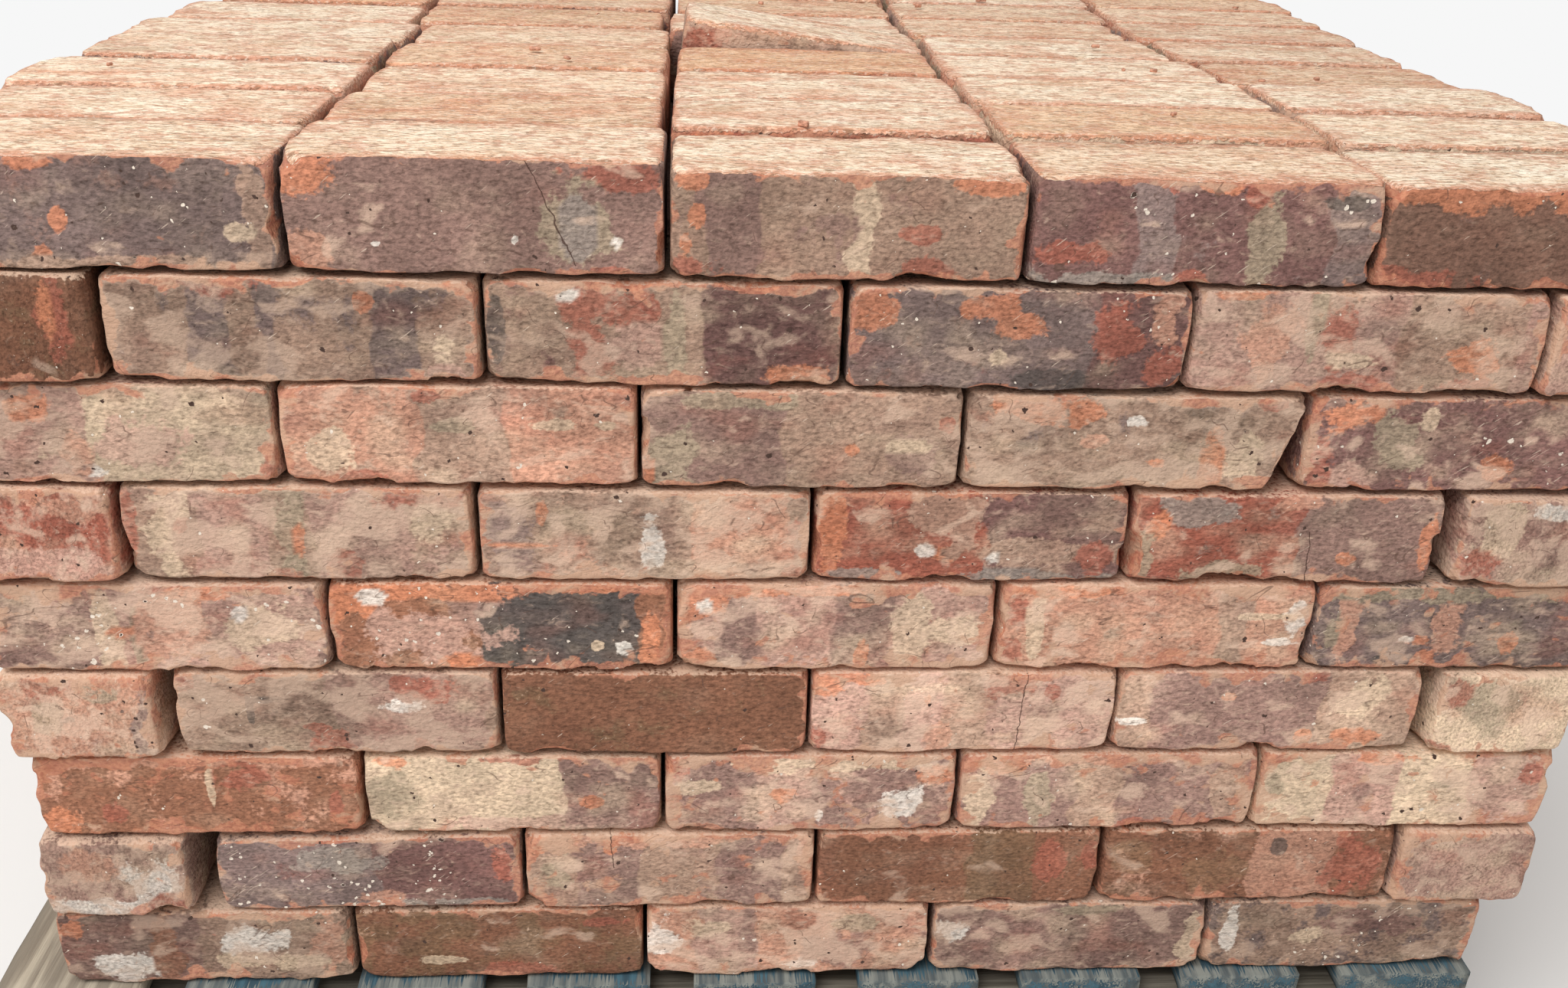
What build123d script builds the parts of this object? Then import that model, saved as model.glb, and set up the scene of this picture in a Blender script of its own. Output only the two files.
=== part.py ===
from build123d import *
import math
import os
from random import Random

# Pallet of reclaimed clay bricks: nine courses of loose bricks on a wooden block pallet.
# Origin on the floor under the middle of the pallet, X to the right, Y to the back, Z up.
# The front of the stack looks along -Y. All sizes are in millimetres.

# One brick, laid on its bed.
brick_length = 226.0
brick_width = 109.0
brick_height = 73.5
arris_wear = 3.0

# How the bricks are laid. Odd courses are all stretchers, even ones are tied by headers.
courses = 9
bricks_across = 5
rows_deep = 9
headers_deep = 4
end_gap = 6.0
row_gap = 2.5
header_gap = 1.5
header_proud = 6.0
loose_end = 4.0
loose_face = 2.0
loose_top = 2.0

# Where the upright joints of the front row stand from their even places, left end to right end.
front_joint_shifts = {
    9: (0, 2, 8, 6, 3, 0),
    8: (2, -2, 5, 8, 5, 16, 13),
    7: (-8, -16, -11, -24, -19, -8),
    6: (-8, -12, -7, -8, -16, -20, -17),
    5: (-3, 2, 13, 13, 15, 8),
    4: (-2, 0, 2, -4, -6, -2, 0),
    3: (3, 12, 4, -3, -1, 4),
    2: (-1, 9, 12, 7, 2, 7, 5),
    1: (-5, -8, -11, -13, -18, -17),
}

# The same for the second to the seventh row of the top course.
top_joint_shifts = {
    2: (-10, -1, 5, 4, 12, 0),
    3: (-24, 2, 5, 1, 12, -1),
    4: (-8, 0, 6, -1, 8, -12),
    5: (-20, 3, 4, 3, -3, -15),
    6: (-14, -10, -4, -4, -13, -12),
    7: (5, -12, 2, -2, -4, -5),
}

# How far the top front bricks rise over an even top.
front_rises = (0, 3, -2, -1, -3)

# The brick of the top course that lies tipped up on a chip of brick.
raised_row = 5
raised_column = 3
raised_angle = 6.8
raised_clearance = 1.0
chip_length = 60.0
chip_width = 80.0
chip_inset = 25.0

# The front brick whose right end is broken off at a slant.
broken_course = 7
broken_column = 4
broken_slant = 22.0

# The pallet, a four-way block pallet with a perimeter base.
pallet_length = 1200.0
pallet_width = 1000.0
deck_boards = 9
deck_board_width = 100.0
outer_deck_board_width = 112.0
deck_board_thickness = 20.0
stringer_board_width = 100.0
stringer_board_thickness = 22.0
block_length = 140.0
block_width = 100.0
block_height = 98.0
base_board_width = 100.0
base_board_thickness = 22.0
board_wear = 1.5

# Where the stack stands on the pallet.
stack_offset = 38.0
stack_setback = 8.0

# Worked out from the sizes above.
base_top = base_board_thickness
blocks_top = base_top + block_height
stringers_top = blocks_top + stringer_board_thickness
deck_top = stringers_top + deck_board_thickness
pitch = brick_length + end_gap
row_pitch = brick_width + row_gap
half_stack = bricks_across * pitch / 2
stack_front = -pallet_width / 2 + stack_setback
tied_rows_depth = (rows_deep - 1) * row_pitch
header_column_depth = headers_deep * (brick_length + header_gap) - header_proud
tied_back_row = stack_front + max(tied_rows_depth, header_column_depth)


def worn_box(low, high, wear):
    """A box between two corners, with its edges worn off by a small chamfer."""
    size = [b - a for a, b in zip(low, high)]
    middle = [(a + b) / 2 for a, b in zip(low, high)]
    block = Box(*size)
    block = chamfer(block.edges(), wear)
    return Pos(*middle) * block


def shift_at(shifts, index):
    """The shift of one joint, or none where no joint was measured."""
    if index < len(shifts):
        return shifts[index]
    return 0.0


def course_bottom(course):
    """Height of the bed that a course lies on, the bottom course being course 1."""
    return deck_top + (course - 1) * brick_height


def is_tied(course):
    """Even courses have headers at both ends."""
    return course % 2 == 0


def joint_shifts(course, row, draws):
    """Shifts of the joints of one row, measured where they show and drawn where they do not."""
    drawn = [draws.uniform(-loose_end, loose_end) for _ in range(bricks_across + 2)]
    if row == 1:
        return front_joint_shifts.get(course, drawn)
    if course == courses:
        return top_joint_shifts.get(row, drawn)
    return drawn


def header_face(course, side):
    """The outer face of the turned bricks at one end of a tied course, side being -1 or 1."""
    end_index = 0 if side < 0 else bricks_across + 1
    shift = shift_at(front_joint_shifts.get(course, ()), end_index)
    return side * half_stack + shift


def row_joints(course, row, draws):
    """Where the upright joints of a row stand along X, its two ends included."""
    shifts = joint_shifts(course, row, draws)
    tied = is_tied(course) and row < rows_deep
    count = bricks_across - 1 if tied else bricks_across
    skipped = 1 if tied else 0
    joints = []
    for number in range(count + 1):
        even_place = (number - count / 2) * pitch
        joints.append(even_place + shift_at(shifts, number + skipped))
    if tied and row > 1:
        joints[0] = header_face(course, -1) + brick_width + end_gap / 2
        joints[-1] = header_face(course, 1) - brick_width - end_gap / 2
    return [stack_offset + joint for joint in joints]


def stretcher(left, right, front, bottom, top):
    """A brick laid along X, between the middles of the joints at its ends."""
    low = (left + end_gap / 2, front, bottom)
    high = (right - end_gap / 2, front + brick_width, top)
    return worn_box(low, high, arris_wear)


def row_of_stretchers(course, row, front, draws):
    """The stretchers of one row, keyed by their column from the left."""
    joints = row_joints(course, row, draws)
    bottom = course_bottom(course)
    bricks = {}
    for column, (left, right) in enumerate(zip(joints, joints[1:]), start=1):
        rise = draws.uniform(-loose_top, loose_top)
        outward = draws.uniform(0, loose_face)
        top = bottom + brick_height
        if course == courses:
            top += front_rises[column - 1] if row == 1 and column <= len(front_rises) else rise
        place = front
        if row == 1:
            place -= outward
        if row == rows_deep:
            place += outward
        bricks[column] = stretcher(left, right, place, bottom, top)
        if course == broken_course and row == 1 and column == broken_column:
            bricks[column] = broken_brick(bricks[column])
    return bricks


def broken_brick(brick):
    """Cuts the right end of a brick off along a slant, longest at the top."""
    box = brick.bounding_box()
    cut_line = Polyline(
        (box.max.X, box.max.Z),
        (box.max.X - broken_slant, box.min.Z),
        (box.max.X, box.min.Z),
        close=True,
    )
    profile = Plane.XZ.offset(-box.max.Y) * make_face(cut_line)
    offcut = extrude(profile, box.size.Y)
    return brick - offcut


def header_column(course, side, draws):
    """The turned bricks at one end of a tied course, front to back."""
    outer = stack_offset + header_face(course, side)
    inner = outer - side * brick_width
    bottom = course_bottom(course)
    bricks = []
    for place in range(headers_deep):
        front = stack_front - header_proud + place * (brick_length + header_gap)
        outward = side * draws.uniform(0, loose_face) if place else 0.0
        low = (min(outer, inner) + outward, front, bottom)
        high = (max(outer, inner) + outward, front + brick_length, bottom + brick_height)
        bricks.append(worn_box(low, high, arris_wear))
    return bricks


def raised_slot():
    """Left end, right end, front and bed of the place of the raised brick."""
    shifts = top_joint_shifts.get(raised_row, ())
    half_count = bricks_across / 2
    left = (raised_column - 1 - half_count) * pitch + shift_at(shifts, raised_column - 1)
    right = (raised_column - half_count) * pitch + shift_at(shifts, raised_column)
    front = stack_front + (raised_row - 1) * row_pitch
    left_end = stack_offset + left + end_gap / 2
    right_end = stack_offset + right - end_gap / 2
    return left_end, right_end, front, course_bottom(courses)


def raised_brick():
    """The brick tipped up about the lower edge of its right end."""
    left, right, front, bed = raised_slot()
    lean = brick_height * math.sin(math.radians(raised_angle)) + raised_clearance
    length = (right - left - lean) / math.cos(math.radians(raised_angle))
    level = worn_box((-length, front, 0), (0, front + brick_width, brick_height), arris_wear)
    return Pos(right - lean, 0, bed) * Rot(0, raised_angle, 0) * level


def chip_under_raised_brick():
    """The chip of brick that holds the raised end up, cut to the slope of the bed above it."""
    left, right, front, bed = raised_slot()
    lean = brick_height * math.sin(math.radians(raised_angle)) + raised_clearance
    slope = math.tan(math.radians(raised_angle))
    pivot = right - lean
    near = left + chip_inset
    far = near + chip_length
    outline = Polyline(
        (near, bed),
        (far, bed),
        (far, bed + (pivot - far) * slope),
        (near, bed + (pivot - near) * slope),
        close=True,
    )
    profile = Plane.XZ * make_face(outline)
    chip = extrude(profile, -chip_width)
    return Pos(0, front + (brick_width - chip_width) / 2, 0) * chip


def course_groups(course, draws):
    """The bricks of one course as front row, outer bricks and inner bricks."""
    front_row = []
    outer_bricks = []
    inner_bricks = []
    for row in range(1, rows_deep + 1):
        front = stack_front + (row - 1) * row_pitch
        if is_tied(course) and row == rows_deep:
            front = tied_back_row
        bricks = row_of_stretchers(course, row, front, draws)
        if course == courses and row == raised_row:
            bricks.pop(raised_column, None)
        ends = () if is_tied(course) else (1, bricks_across)
        for column, brick in bricks.items():
            if row == 1:
                front_row.append(brick)
            elif row == rows_deep or column in ends:
                outer_bricks.append(brick)
            else:
                inner_bricks.append(brick)
    if is_tied(course):
        left_headers = header_column(course, -1, draws)
        right_headers = header_column(course, 1, draws)
        front_row += [left_headers[0], right_headers[0]]
        outer_bricks += left_headers[1:] + right_headers[1:]
    return {"front_row": front_row, "outer_bricks": outer_bricks, "inner_bricks": inner_bricks}


def deck_board(number):
    """One board of the deck, running front to back, number 1 at the left edge."""
    outer = number in (1, deck_boards)
    width = outer_deck_board_width if outer else deck_board_width
    inner_total = (deck_boards - 2) * deck_board_width
    gap = (pallet_length - 2 * outer_deck_board_width - inner_total) / (deck_boards - 1)
    left = -pallet_length / 2
    if number > 1:
        left += outer_deck_board_width + gap + (number - 2) * (deck_board_width + gap)
    low = (left, -pallet_width / 2, stringers_top)
    high = (left + width, pallet_width / 2, deck_top)
    return worn_box(low, high, board_wear)


def stringer_board(place):
    """One board across under the deck: place -1 at the front, 0 in the middle, 1 at the back."""
    middle = place * (pallet_width - stringer_board_width) / 2
    low = (-pallet_length / 2, middle - stringer_board_width / 2, blocks_top)
    high = (pallet_length / 2, middle + stringer_board_width / 2, stringers_top)
    return worn_box(low, high, board_wear)


def pallet_block(across, deep):
    """One block between the base and the stringer boards, each place being -1, 0 or 1."""
    x = across * (pallet_length - block_length) / 2
    y = deep * (pallet_width - block_width) / 2
    low = (x - block_length / 2, y - block_width / 2, base_top)
    high = (x + block_length / 2, y + block_width / 2, blocks_top)
    return worn_box(low, high, board_wear)


def end_base_board(side):
    """The base board under the front or the back edge, as long as the pallet."""
    middle = side * (pallet_width - base_board_width) / 2
    low = (-pallet_length / 2, middle - base_board_width / 2, 0)
    high = (pallet_length / 2, middle + base_board_width / 2, base_top)
    return worn_box(low, high, board_wear)


def cross_base_board(place):
    """A base board from the front one to the back one, under a column of blocks."""
    middle = place * (pallet_length - base_board_width) / 2
    reach = pallet_width / 2 - base_board_width
    low = (middle - base_board_width / 2, -reach, 0)
    high = (middle + base_board_width / 2, reach, base_top)
    return worn_box(low, high, board_wear)


def pallet_pieces():
    """Every board and block of the pallet by name."""
    across_names = {-1: "left", 0: "middle", 1: "right"}
    deep_names = {-1: "front", 0: "middle", 1: "back"}
    pieces = {}
    for number in range(1, deck_boards + 1):
        pieces[f"deck_board_{number}"] = deck_board(number)
    for deep, deep_name in deep_names.items():
        pieces[f"stringer_board_{deep_name}"] = stringer_board(deep)
        for across, across_name in across_names.items():
            pieces[f"block_{deep_name}_{across_name}"] = pallet_block(across, deep)
    for side in (-1, 1):
        pieces[f"base_board_{deep_names[side]}"] = end_base_board(side)
    for place, name in across_names.items():
        pieces[f"base_board_cross_{name}"] = cross_base_board(place)
    return pieces


def stack_pieces():
    """Every group of bricks by name, from the bottom course up."""
    draws = Random(9)
    pieces = {}
    for course in range(1, courses + 1):
        for name, bricks in course_groups(course, draws).items():
            pieces[f"course_{course}_{name}"] = Compound(children=bricks)
    pieces["raised_brick"] = raised_brick()
    pieces["chip_under_raised_brick"] = chip_under_raised_brick()
    return pieces


os.makedirs("parts", exist_ok=True)
for name, piece in {**pallet_pieces(), **stack_pieces()}.items():
    export_step(piece, f"parts/{name}.step")
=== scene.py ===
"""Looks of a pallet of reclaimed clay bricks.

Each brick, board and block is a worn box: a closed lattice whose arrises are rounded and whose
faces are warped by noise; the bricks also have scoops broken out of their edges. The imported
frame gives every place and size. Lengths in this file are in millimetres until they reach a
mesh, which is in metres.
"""

import logging
import math
from dataclasses import dataclass
from enum import Enum

import bpy
import numpy as np
from mathutils import Matrix, Vector


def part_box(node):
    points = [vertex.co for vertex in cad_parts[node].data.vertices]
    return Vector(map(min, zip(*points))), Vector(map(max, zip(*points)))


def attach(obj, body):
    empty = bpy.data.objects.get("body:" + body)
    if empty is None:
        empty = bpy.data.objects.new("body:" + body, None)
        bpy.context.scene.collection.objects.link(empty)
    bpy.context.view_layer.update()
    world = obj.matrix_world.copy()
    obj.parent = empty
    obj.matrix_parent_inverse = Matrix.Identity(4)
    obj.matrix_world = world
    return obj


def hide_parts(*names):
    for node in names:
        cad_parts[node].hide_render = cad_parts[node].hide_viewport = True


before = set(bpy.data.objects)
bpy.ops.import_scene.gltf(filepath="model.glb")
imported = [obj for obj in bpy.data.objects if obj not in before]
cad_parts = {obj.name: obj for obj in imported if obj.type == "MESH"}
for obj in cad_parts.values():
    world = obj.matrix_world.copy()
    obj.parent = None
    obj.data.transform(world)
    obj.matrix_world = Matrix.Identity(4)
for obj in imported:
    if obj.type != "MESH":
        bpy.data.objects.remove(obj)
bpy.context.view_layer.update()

MM = 0.001
NOISE_REACH = 900.0  # mm that the pieces are spread over in the noise, so that no two are alike
NO_CRACK = 99.0  # mm, too far from any crack to show it
STRETCHER = (226.0, 73.0)  # mm, length and height of a brick's long face
LOG = logging.getLogger("pallet_of_bricks")
Socket = bpy.types.NodeSocket


class Clay(Enum):
    """Colours that clay takes in a kiln and then in a wall, as sRGB hex."""

    MAUVE = "94756A"
    GREY_MAUVE = "85706A"
    MAROON = "7C5B55"
    CHARCOAL = "564E4A"
    KHAKI = "8A684F"
    RUST = "94664F"
    BROWN = "946F5E"
    TAN = "AE8E7A"
    CREAM = "D3B99D"
    OLIVE = "A2917A"
    PINK = "BA9484"
    SALMON = "C6937B"
    ORANGE = "CC8361"
    RED = "A5614F"
    STONE = "94897F"
    LIME = "E8DED2"


# The clays by their bare names, for the looks below.
(MAUVE, GREY_MAUVE, MAROON, CHARCOAL, KHAKI, RUST, BROWN, TAN,
 CREAM, OLIVE, PINK, SALMON, ORANGE, RED, STONE, LIME) = Clay


class Trace(Enum):
    """Colours that mortar, knocks and the weather leave on the clay, as sRGB hex."""

    HAZE = "E4C3AB"
    # Pale dust on the upward faces of the lower courses, which also stands in for the light from above as
    # painted highlight.
    DUST_AND_HIGHLIGHT_TOP = "EBCAB0"
    DUSTY_ARRIS = "EBD0B8"
    FRESH_PALE = "CE8D6E"
    FRESH_DEEP = "AC6A54"
    FRESH_TAN = "C9A78C"
    FLECK = "E2D4C4"
    PIT = "4A3831"
    FOLD = "5E463B"
    SCRATCH = "DCC6B2"
    CRACK = "4A342C"
    # Cream of the top course's upper faces and its clouds: sun bleach, and paler than the clay as painted
    # highlight of the light from above.
    BLEACHED_HIGHLIT_CREAM = "F6E1C6"
    BLEACHED_PEACH = "E0AE8C"
    BLEACHED_BROWN = "BFA283"
    BLEACHED_PINK = "D99878"
    BLEACHED_HIGHLIT_WHITE = "FFF3DC"
    BLEACHED_RIM = "D68F6C"
    RAW_STREAK = "D4957A"
    DARK_STREAK = "94745A"
    PALE_SPECK = "FFF3E0"
    DARK_SPECK = "94715A"


@dataclass(frozen=True)
class Patch:
    """An ellipse of another colour on the front of a brick.

    Attributes:
        colour: Its colour.
        across: Distance of its middle from the left end, in mm.
        up: Height of its middle over the lower edge, in mm.
        wide: Half its width, in mm.
        high: Half its height, in mm.
    """

    colour: Clay
    across: float
    up: float
    wide: float
    high: float


@dataclass(frozen=True)
class Chip:
    """A scoop broken out of a front edge.

    Attributes:
        across: Distance from the left end, in mm.
        up: Height over the lower edge, in mm.
        wide: Its width along the edge, in mm.
        deep: How hard it was hit: three quarters of how far the front is broken away, in mm.
    """

    across: float
    up: float
    wide: float
    deep: float = 4.0


@dataclass(frozen=True)
class Crack:
    """A hairline crack across the front face.

    Attributes:
        start: Its first end, across from the left and up from the lower edge, in mm.
        end: Its other end.
    """

    start: tuple[float, float]
    end: tuple[float, float]


@dataclass(frozen=True)
class BrickLook:
    """How one brick is coloured and damaged.

    Attributes:
        main: Colour of most of the brick.
        second: Colour of its upright bands and mottles.
        bands: Pairs of distances from the left end between which the second colour shows.
        patches: Patches of other colours, the later ones on top.
        chips: Scoops broken out of the front edges.
        crack: A crack, if it has one.
        mottle: How much the second colour shows outside the bands, from 0 to 1.
        film: How much pale dust lies on the face, from 0 to 1.
        flecks: How many pale flecks and scratches it has, from 0 to 1.
        rim: How orange its broken arrises are, from 0 to 1.
        lean: How much lower the top is at the left end than at the right, in mm.
        break_slant: How far the foot of a broken right end stands back, in mm.
        shade: How light its firing left it, 1 being the colours as they are.
    """

    main: Clay
    second: Clay
    bands: tuple[tuple[float, float], ...] = ()
    patches: tuple[Patch, ...] = ()
    chips: tuple[Chip, ...] = ()
    crack: Crack | None = None
    mottle: float = 0.3
    film: float = 0.4
    flecks: float = 0.3
    rim: float = 0.5
    lean: float = 0.0
    break_slant: float = 0.0
    shade: float = 1.0


def patches(*rows: tuple[Clay, float, float, float, float]) -> tuple[Patch, ...]:
    """Makes a patch of each row of colour, across, up, wide and high."""
    return tuple(Patch(*row) for row in rows)


def chips(*rows: tuple[float, ...]) -> tuple[Chip, ...]:
    """Makes a chip of each row of across, up, wide and deep."""
    return tuple(Chip(*row) for row in rows)


# The front bricks of each course from left to right, as far as the photograph shows them. The sizes
# of the patches are rough, because the material tears their outlines.
FRONT_LOOKS: dict[int, tuple[BrickLook, ...]] = {
    9: (
        BrickLook(
            GREY_MAUVE, MAUVE, shade=0.75, film=0.15, flecks=0.6, rim=0.3,
            patches=patches(
                (TAN, 219, 36, 8, 34), (ORANGE, 88, 69, 16, 6), (CREAM, 206, 26, 9, 6),
                (ORANGE, 99, 32, 5, 8), (ORANGE, 86, 9, 5, 6), (TAN, 130, 3, 80, 6)),
            chips=chips((224, 30, 22, 5), (222, 6, 30, 6), (150, 2, 40, 3))),
        BrickLook(
            MAUVE, TAN, shade=0.85, mottle=0.2, film=0.12, flecks=0.15, rim=0.35,
            crack=Crack((150, 74), (178, 12)),
            patches=patches(
                (ORANGE, 11, 61, 21, 17), (SALMON, 12, 12, 16, 16), (RED, 205, 64, 26, 11),
                (OLIVE, 182, 33, 20, 27), (STONE, 181, 33, 11, 19), (LIME, 205, 24, 3, 3),
                (LIME, 142, 24, 3, 3), (LIME, 56, 20, 3, 2), (RED, 196, 3, 12, 5)),
            chips=chips((8, 66, 60, 6), (8, 8, 44, 6), (205, 72, 50, 4), (222, 20, 28, 5))),
        BrickLook(
            TAN, MAUVE, shade=0.75, bands=((20, 60),), film=0.15, flecks=0.2,
            patches=patches(
                (CREAM, 122, 36, 9, 40), (MAUVE, 104, 36, 14, 11), (RED, 12, 8, 15, 9),
                (ORANGE, 18, 40, 5, 8), (ORANGE, 11, 24, 5, 7), (RED, 160, 9, 20, 9),
                (RED, 160, 32, 14, 6), (ORANGE, 204, 66, 24, 8), (ORANGE, 9, 66, 14, 8)),
            chips=chips(
                (14, 6, 34, 6), (160, 6, 50, 6), (208, 70, 56, 5), (30, 72, 60, 3), (222, 8, 24, 4))),
        BrickLook(
            MAROON, GREY_MAUVE, shade=0.98, bands=((64, 92), (196, 226)), film=0.2, flecks=0.8, rim=0.4,
            patches=patches(
                (OLIVE, 152, 28, 11, 34), (RED, 26, 22, 22, 8), (STONE, 60, 4, 60, 6),
                (RED, 87, 68, 6, 6), (ORANGE, 110, 69, 7, 5), (ORANGE, 125, 68, 7, 6),
                (RED, 142, 64, 8, 10), (RED, 107, 6, 9, 6), (CHARCOAL, 201, 58, 14, 4)),
            chips=chips(
                (110, 71, 24, 3), (142, 70, 26, 4), (107, 3, 26, 6), (224, 20, 30, 5),
                (222, 68, 30, 4))),
        BrickLook(
            BROWN, MAUVE, shade=0.6, mottle=0.2, film=0.0, flecks=0.1, rim=0.6,
            patches=patches((ORANGE, 50, 68, 90, 12), (RED, 20, 6, 34, 9)),
            chips=chips((14, 66, 54, 5), (90, 72, 50, 4))),
    ),
    8: (
        BrickLook(
            RUST, KHAKI, shade=0.55, film=0.1, flecks=0.05, rim=0.3,
            patches=patches((RED, 88, 48, 9, 24), (ORANGE, 84, 50, 4, 18))),
        BrickLook(
            TAN, GREY_MAUVE, shade=0.65, bands=((56, 80), (96, 108), (168, 196)), film=0.4, rim=0.4,
            patches=patches(
                (RED, 70, 70, 22, 11), (ORANGE, 63, 3, 12, 5), (ORANGE, 165, 58, 5, 8),
                (CREAM, 213, 28, 8, 12), (PINK, 212, 8, 12, 6)),
            chips=chips((214, 6, 34, 5), (70, 71, 36, 3))),
        BrickLook(
            TAN, MAROON, shade=0.7, bands=((140, 230),), film=0.35, flecks=0.5,
            patches=patches(
                (RED, 78, 54, 32, 15), (RED, 70, 26, 15, 22), (PINK, 102, 28, 20, 14),
                (OLIVE, 124, 34, 7, 40), (CHARCOAL, 8, 44, 5, 20), (LIME, 54, 63, 6, 5),
                (ORANGE, 202, 10, 20, 8)),
            chips=chips((202, 4, 44, 5), (222, 14, 26, 4), (150, 2, 30, 3))),
        BrickLook(
            GREY_MAUVE, MAROON, shade=0.8, bands=((160, 226),), film=0.25, flecks=0.8,
            patches=patches(
                (ORANGE, 15, 58, 15, 16), (ORANGE, 92, 62, 16, 10), (ORANGE, 112, 46, 16, 9),
                (CREAM, 103, 24, 9, 7), (RED, 176, 40, 18, 26), (RED, 210, 16, 14, 14),
                (SALMON, 208, 54, 9, 16), (CHARCOAL, 138, 10, 30, 9)),
            chips=chips((14, 64, 40, 5), (105, 68, 40, 5), (212, 8, 44, 6), (60, 2, 40, 3))),
        BrickLook(
            PINK, TAN, shade=0.8, bands=((140, 226),), film=0.45, flecks=0.35, rim=0.7,
            patches=patches(
                (SALMON, 50, 44, 22, 26), (OLIVE, 80, 50, 6, 30), (RED, 100, 40, 12, 26),
                (MAUVE, 126, 45, 14, 12), (ORANGE, 196, 30, 16, 13), (CREAM, 110, 26, 20, 6),
                (RED, 106, 5, 24, 8), (RED, 190, 5, 20, 7), (ORANGE, 30, 70, 20, 5)),
            chips=chips((106, 3, 50, 6), (188, 3, 50, 5), (220, 66, 26, 4))),
        BrickLook(PINK, TAN, shade=0.9, film=0.3, chips=chips((20, 8, 30, 4))),
    ),
    7: (
        BrickLook(
            PINK, CREAM, shade=0.7, bands=((100, 226),), film=0.45, flecks=0.3, rim=0.6,
            patches=patches(
                (ORANGE, 68, 54, 14, 12), (PINK, 140, 30, 30, 16), (CREAM, 168, 66, 30, 9),
                (RED, 218, 11, 11, 8), (LIME, 100, 9, 8, 4), (SALMON, 90, 24, 8, 20)),
            chips=chips((218, 8, 40, 5), (70, 2, 40, 3), (150, 72, 50, 3))),
        BrickLook(
            SALMON, TAN, shade=0.95, bands=((90, 150),), film=0.35, flecks=0.25, rim=0.6,
            patches=patches(
                (RED, 57, 4, 24, 6), (OLIVE, 112, 45, 16, 5), (CREAM, 183, 46, 15, 4),
                (CREAM, 30, 26, 14, 14), (RED, 100, 66, 10, 7), (CREAM, 215, 46, 8, 3)),
            chips=chips((57, 2, 56, 5), (222, 10, 24, 4), (120, 2, 40, 3))),
        BrickLook(
            TAN, MAUVE, shade=0.85, bands=((-10, 97),), film=0.3, flecks=0.2, rim=0.4,
            patches=patches(
                (OLIVE, 16, 22, 16, 26), (OLIVE, 72, 68, 34, 8), (MAUVE, 180, 32, 18, 14),
                (CREAM, 180, 33, 14, 5), (ORANGE, 4, 12, 5, 10), (ORANGE, 142, 30, 8, 8),
                (RED, 206, 50, 6, 6)),
            chips=chips((6, 40, 34, 5), (60, 2, 60, 3), (216, 4, 34, 5))),
        BrickLook(
            TAN, GREY_MAUVE, shade=0.75, film=0.55, flecks=0.35, rim=0.6, break_slant=22.0,
            patches=patches(
                (ORANGE, 48, 64, 34, 10), (ORANGE, 78, 58, 16, 12), (LIME, 119, 54, 7, 5),
                (ORANGE, 172, 20, 10, 20), (ORANGE, 134, 22, 7, 4), (SALMON, 88, 40, 10, 6),
                (RED, 208, 68, 10, 5), (CREAM, 194, 24, 12, 22)),
            chips=chips((60, 72, 70, 3), (12, 4, 34, 5), (120, 2, 50, 4))),
        BrickLook(
            MAROON, MAUVE, shade=1.1, film=0.3, flecks=1.0, rim=0.6,
            patches=patches(
                (ORANGE, 26, 58, 18, 14), (OLIVE, 62, 36, 19, 20), (PINK, 38, 10, 20, 10),
                (RED, 8, 20, 12, 20), (ORANGE, 140, 20, 12, 10), (CREAM, 84, 54, 5, 9)),
            chips=chips((12, 60, 44, 5), (30, 2, 60, 4))),
    ),
    6: (
        BrickLook(
            RED, PINK, shade=0.9, film=0.4, flecks=0.2,
            patches=patches((PINK, 50, 12, 60, 16), (SALMON, 80, 60, 20, 10)),
            chips=chips((50, 2, 60, 4), (100, 6, 26, 5))),
        BrickLook(
            TAN, PINK, shade=0.85, bands=((50, 95), (126, 190)), film=0.5, flecks=0.25, rim=0.5,
            patches=patches(
                (RED, 5, 50, 8, 34), (RED, 200, 67, 30, 9), (RED, 146, 10, 11, 12),
                (OLIVE, 112, 38, 10, 36), (CREAM, 28, 40, 14, 34), (RED, 104, 4, 10, 4),
                (RED, 40, 42, 5, 5), (CREAM, 204, 46, 16, 12), (ORANGE, 117, 32, 4, 12)),
            chips=chips((4, 22, 34, 5), (222, 10, 34, 6), (190, 3, 40, 4), (200, 71, 60, 3))),
        BrickLook(
            TAN, SALMON, shade=0.85, bands=((150, 215),), film=0.5, flecks=0.2, rim=0.3,
            patches=patches(
                (LIME, 118, 34, 9, 20), (RED, 216, 6, 9, 8), (GREY_MAUVE, 20, 40, 22, 26),
                (ORANGE, 44, 56, 4, 12), (ORANGE, 30, 30, 24, 2), (RED, 218, 44, 5, 6)),
            chips=chips((214, 4, 36, 5), (150, 2, 40, 3), (8, 6, 26, 4))),
        BrickLook(
            RED, MAROON, shade=0.9, bands=((120, 226),), film=0.25, flecks=0.8, rim=0.6,
            patches=patches(
                (ORANGE, 13, 42, 11, 32), (TAN, 86, 54, 28, 22), (STONE, 34, 5, 24, 6),
                (STONE, 160, 5, 60, 6), (ORANGE, 96, 24, 12, 6), (LIME, 78, 26, 7, 5),
                (TAN, 160, 24, 60, 10), (RED, 200, 20, 12, 12), (LIME, 128, 20, 4, 4)),
            chips=chips((8, 30, 40, 5), (90, 2, 60, 5), (210, 22, 30, 4))),
        BrickLook(
            RED, MAUVE, shade=0.9, bands=((120, 226),), film=0.3, flecks=0.35, rim=0.5,
            crack=Crack((128, 40), (132, 0)),
            patches=patches(
                (STONE, 44, 60, 24, 14), (ORANGE, 19, 46, 8, 12), (SALMON, 118, 67, 15, 7),
                (OLIVE, 72, 8, 28, 10), (OLIVE, 8, 20, 12, 20), (ORANGE, 216, 36, 5, 22),
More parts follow.
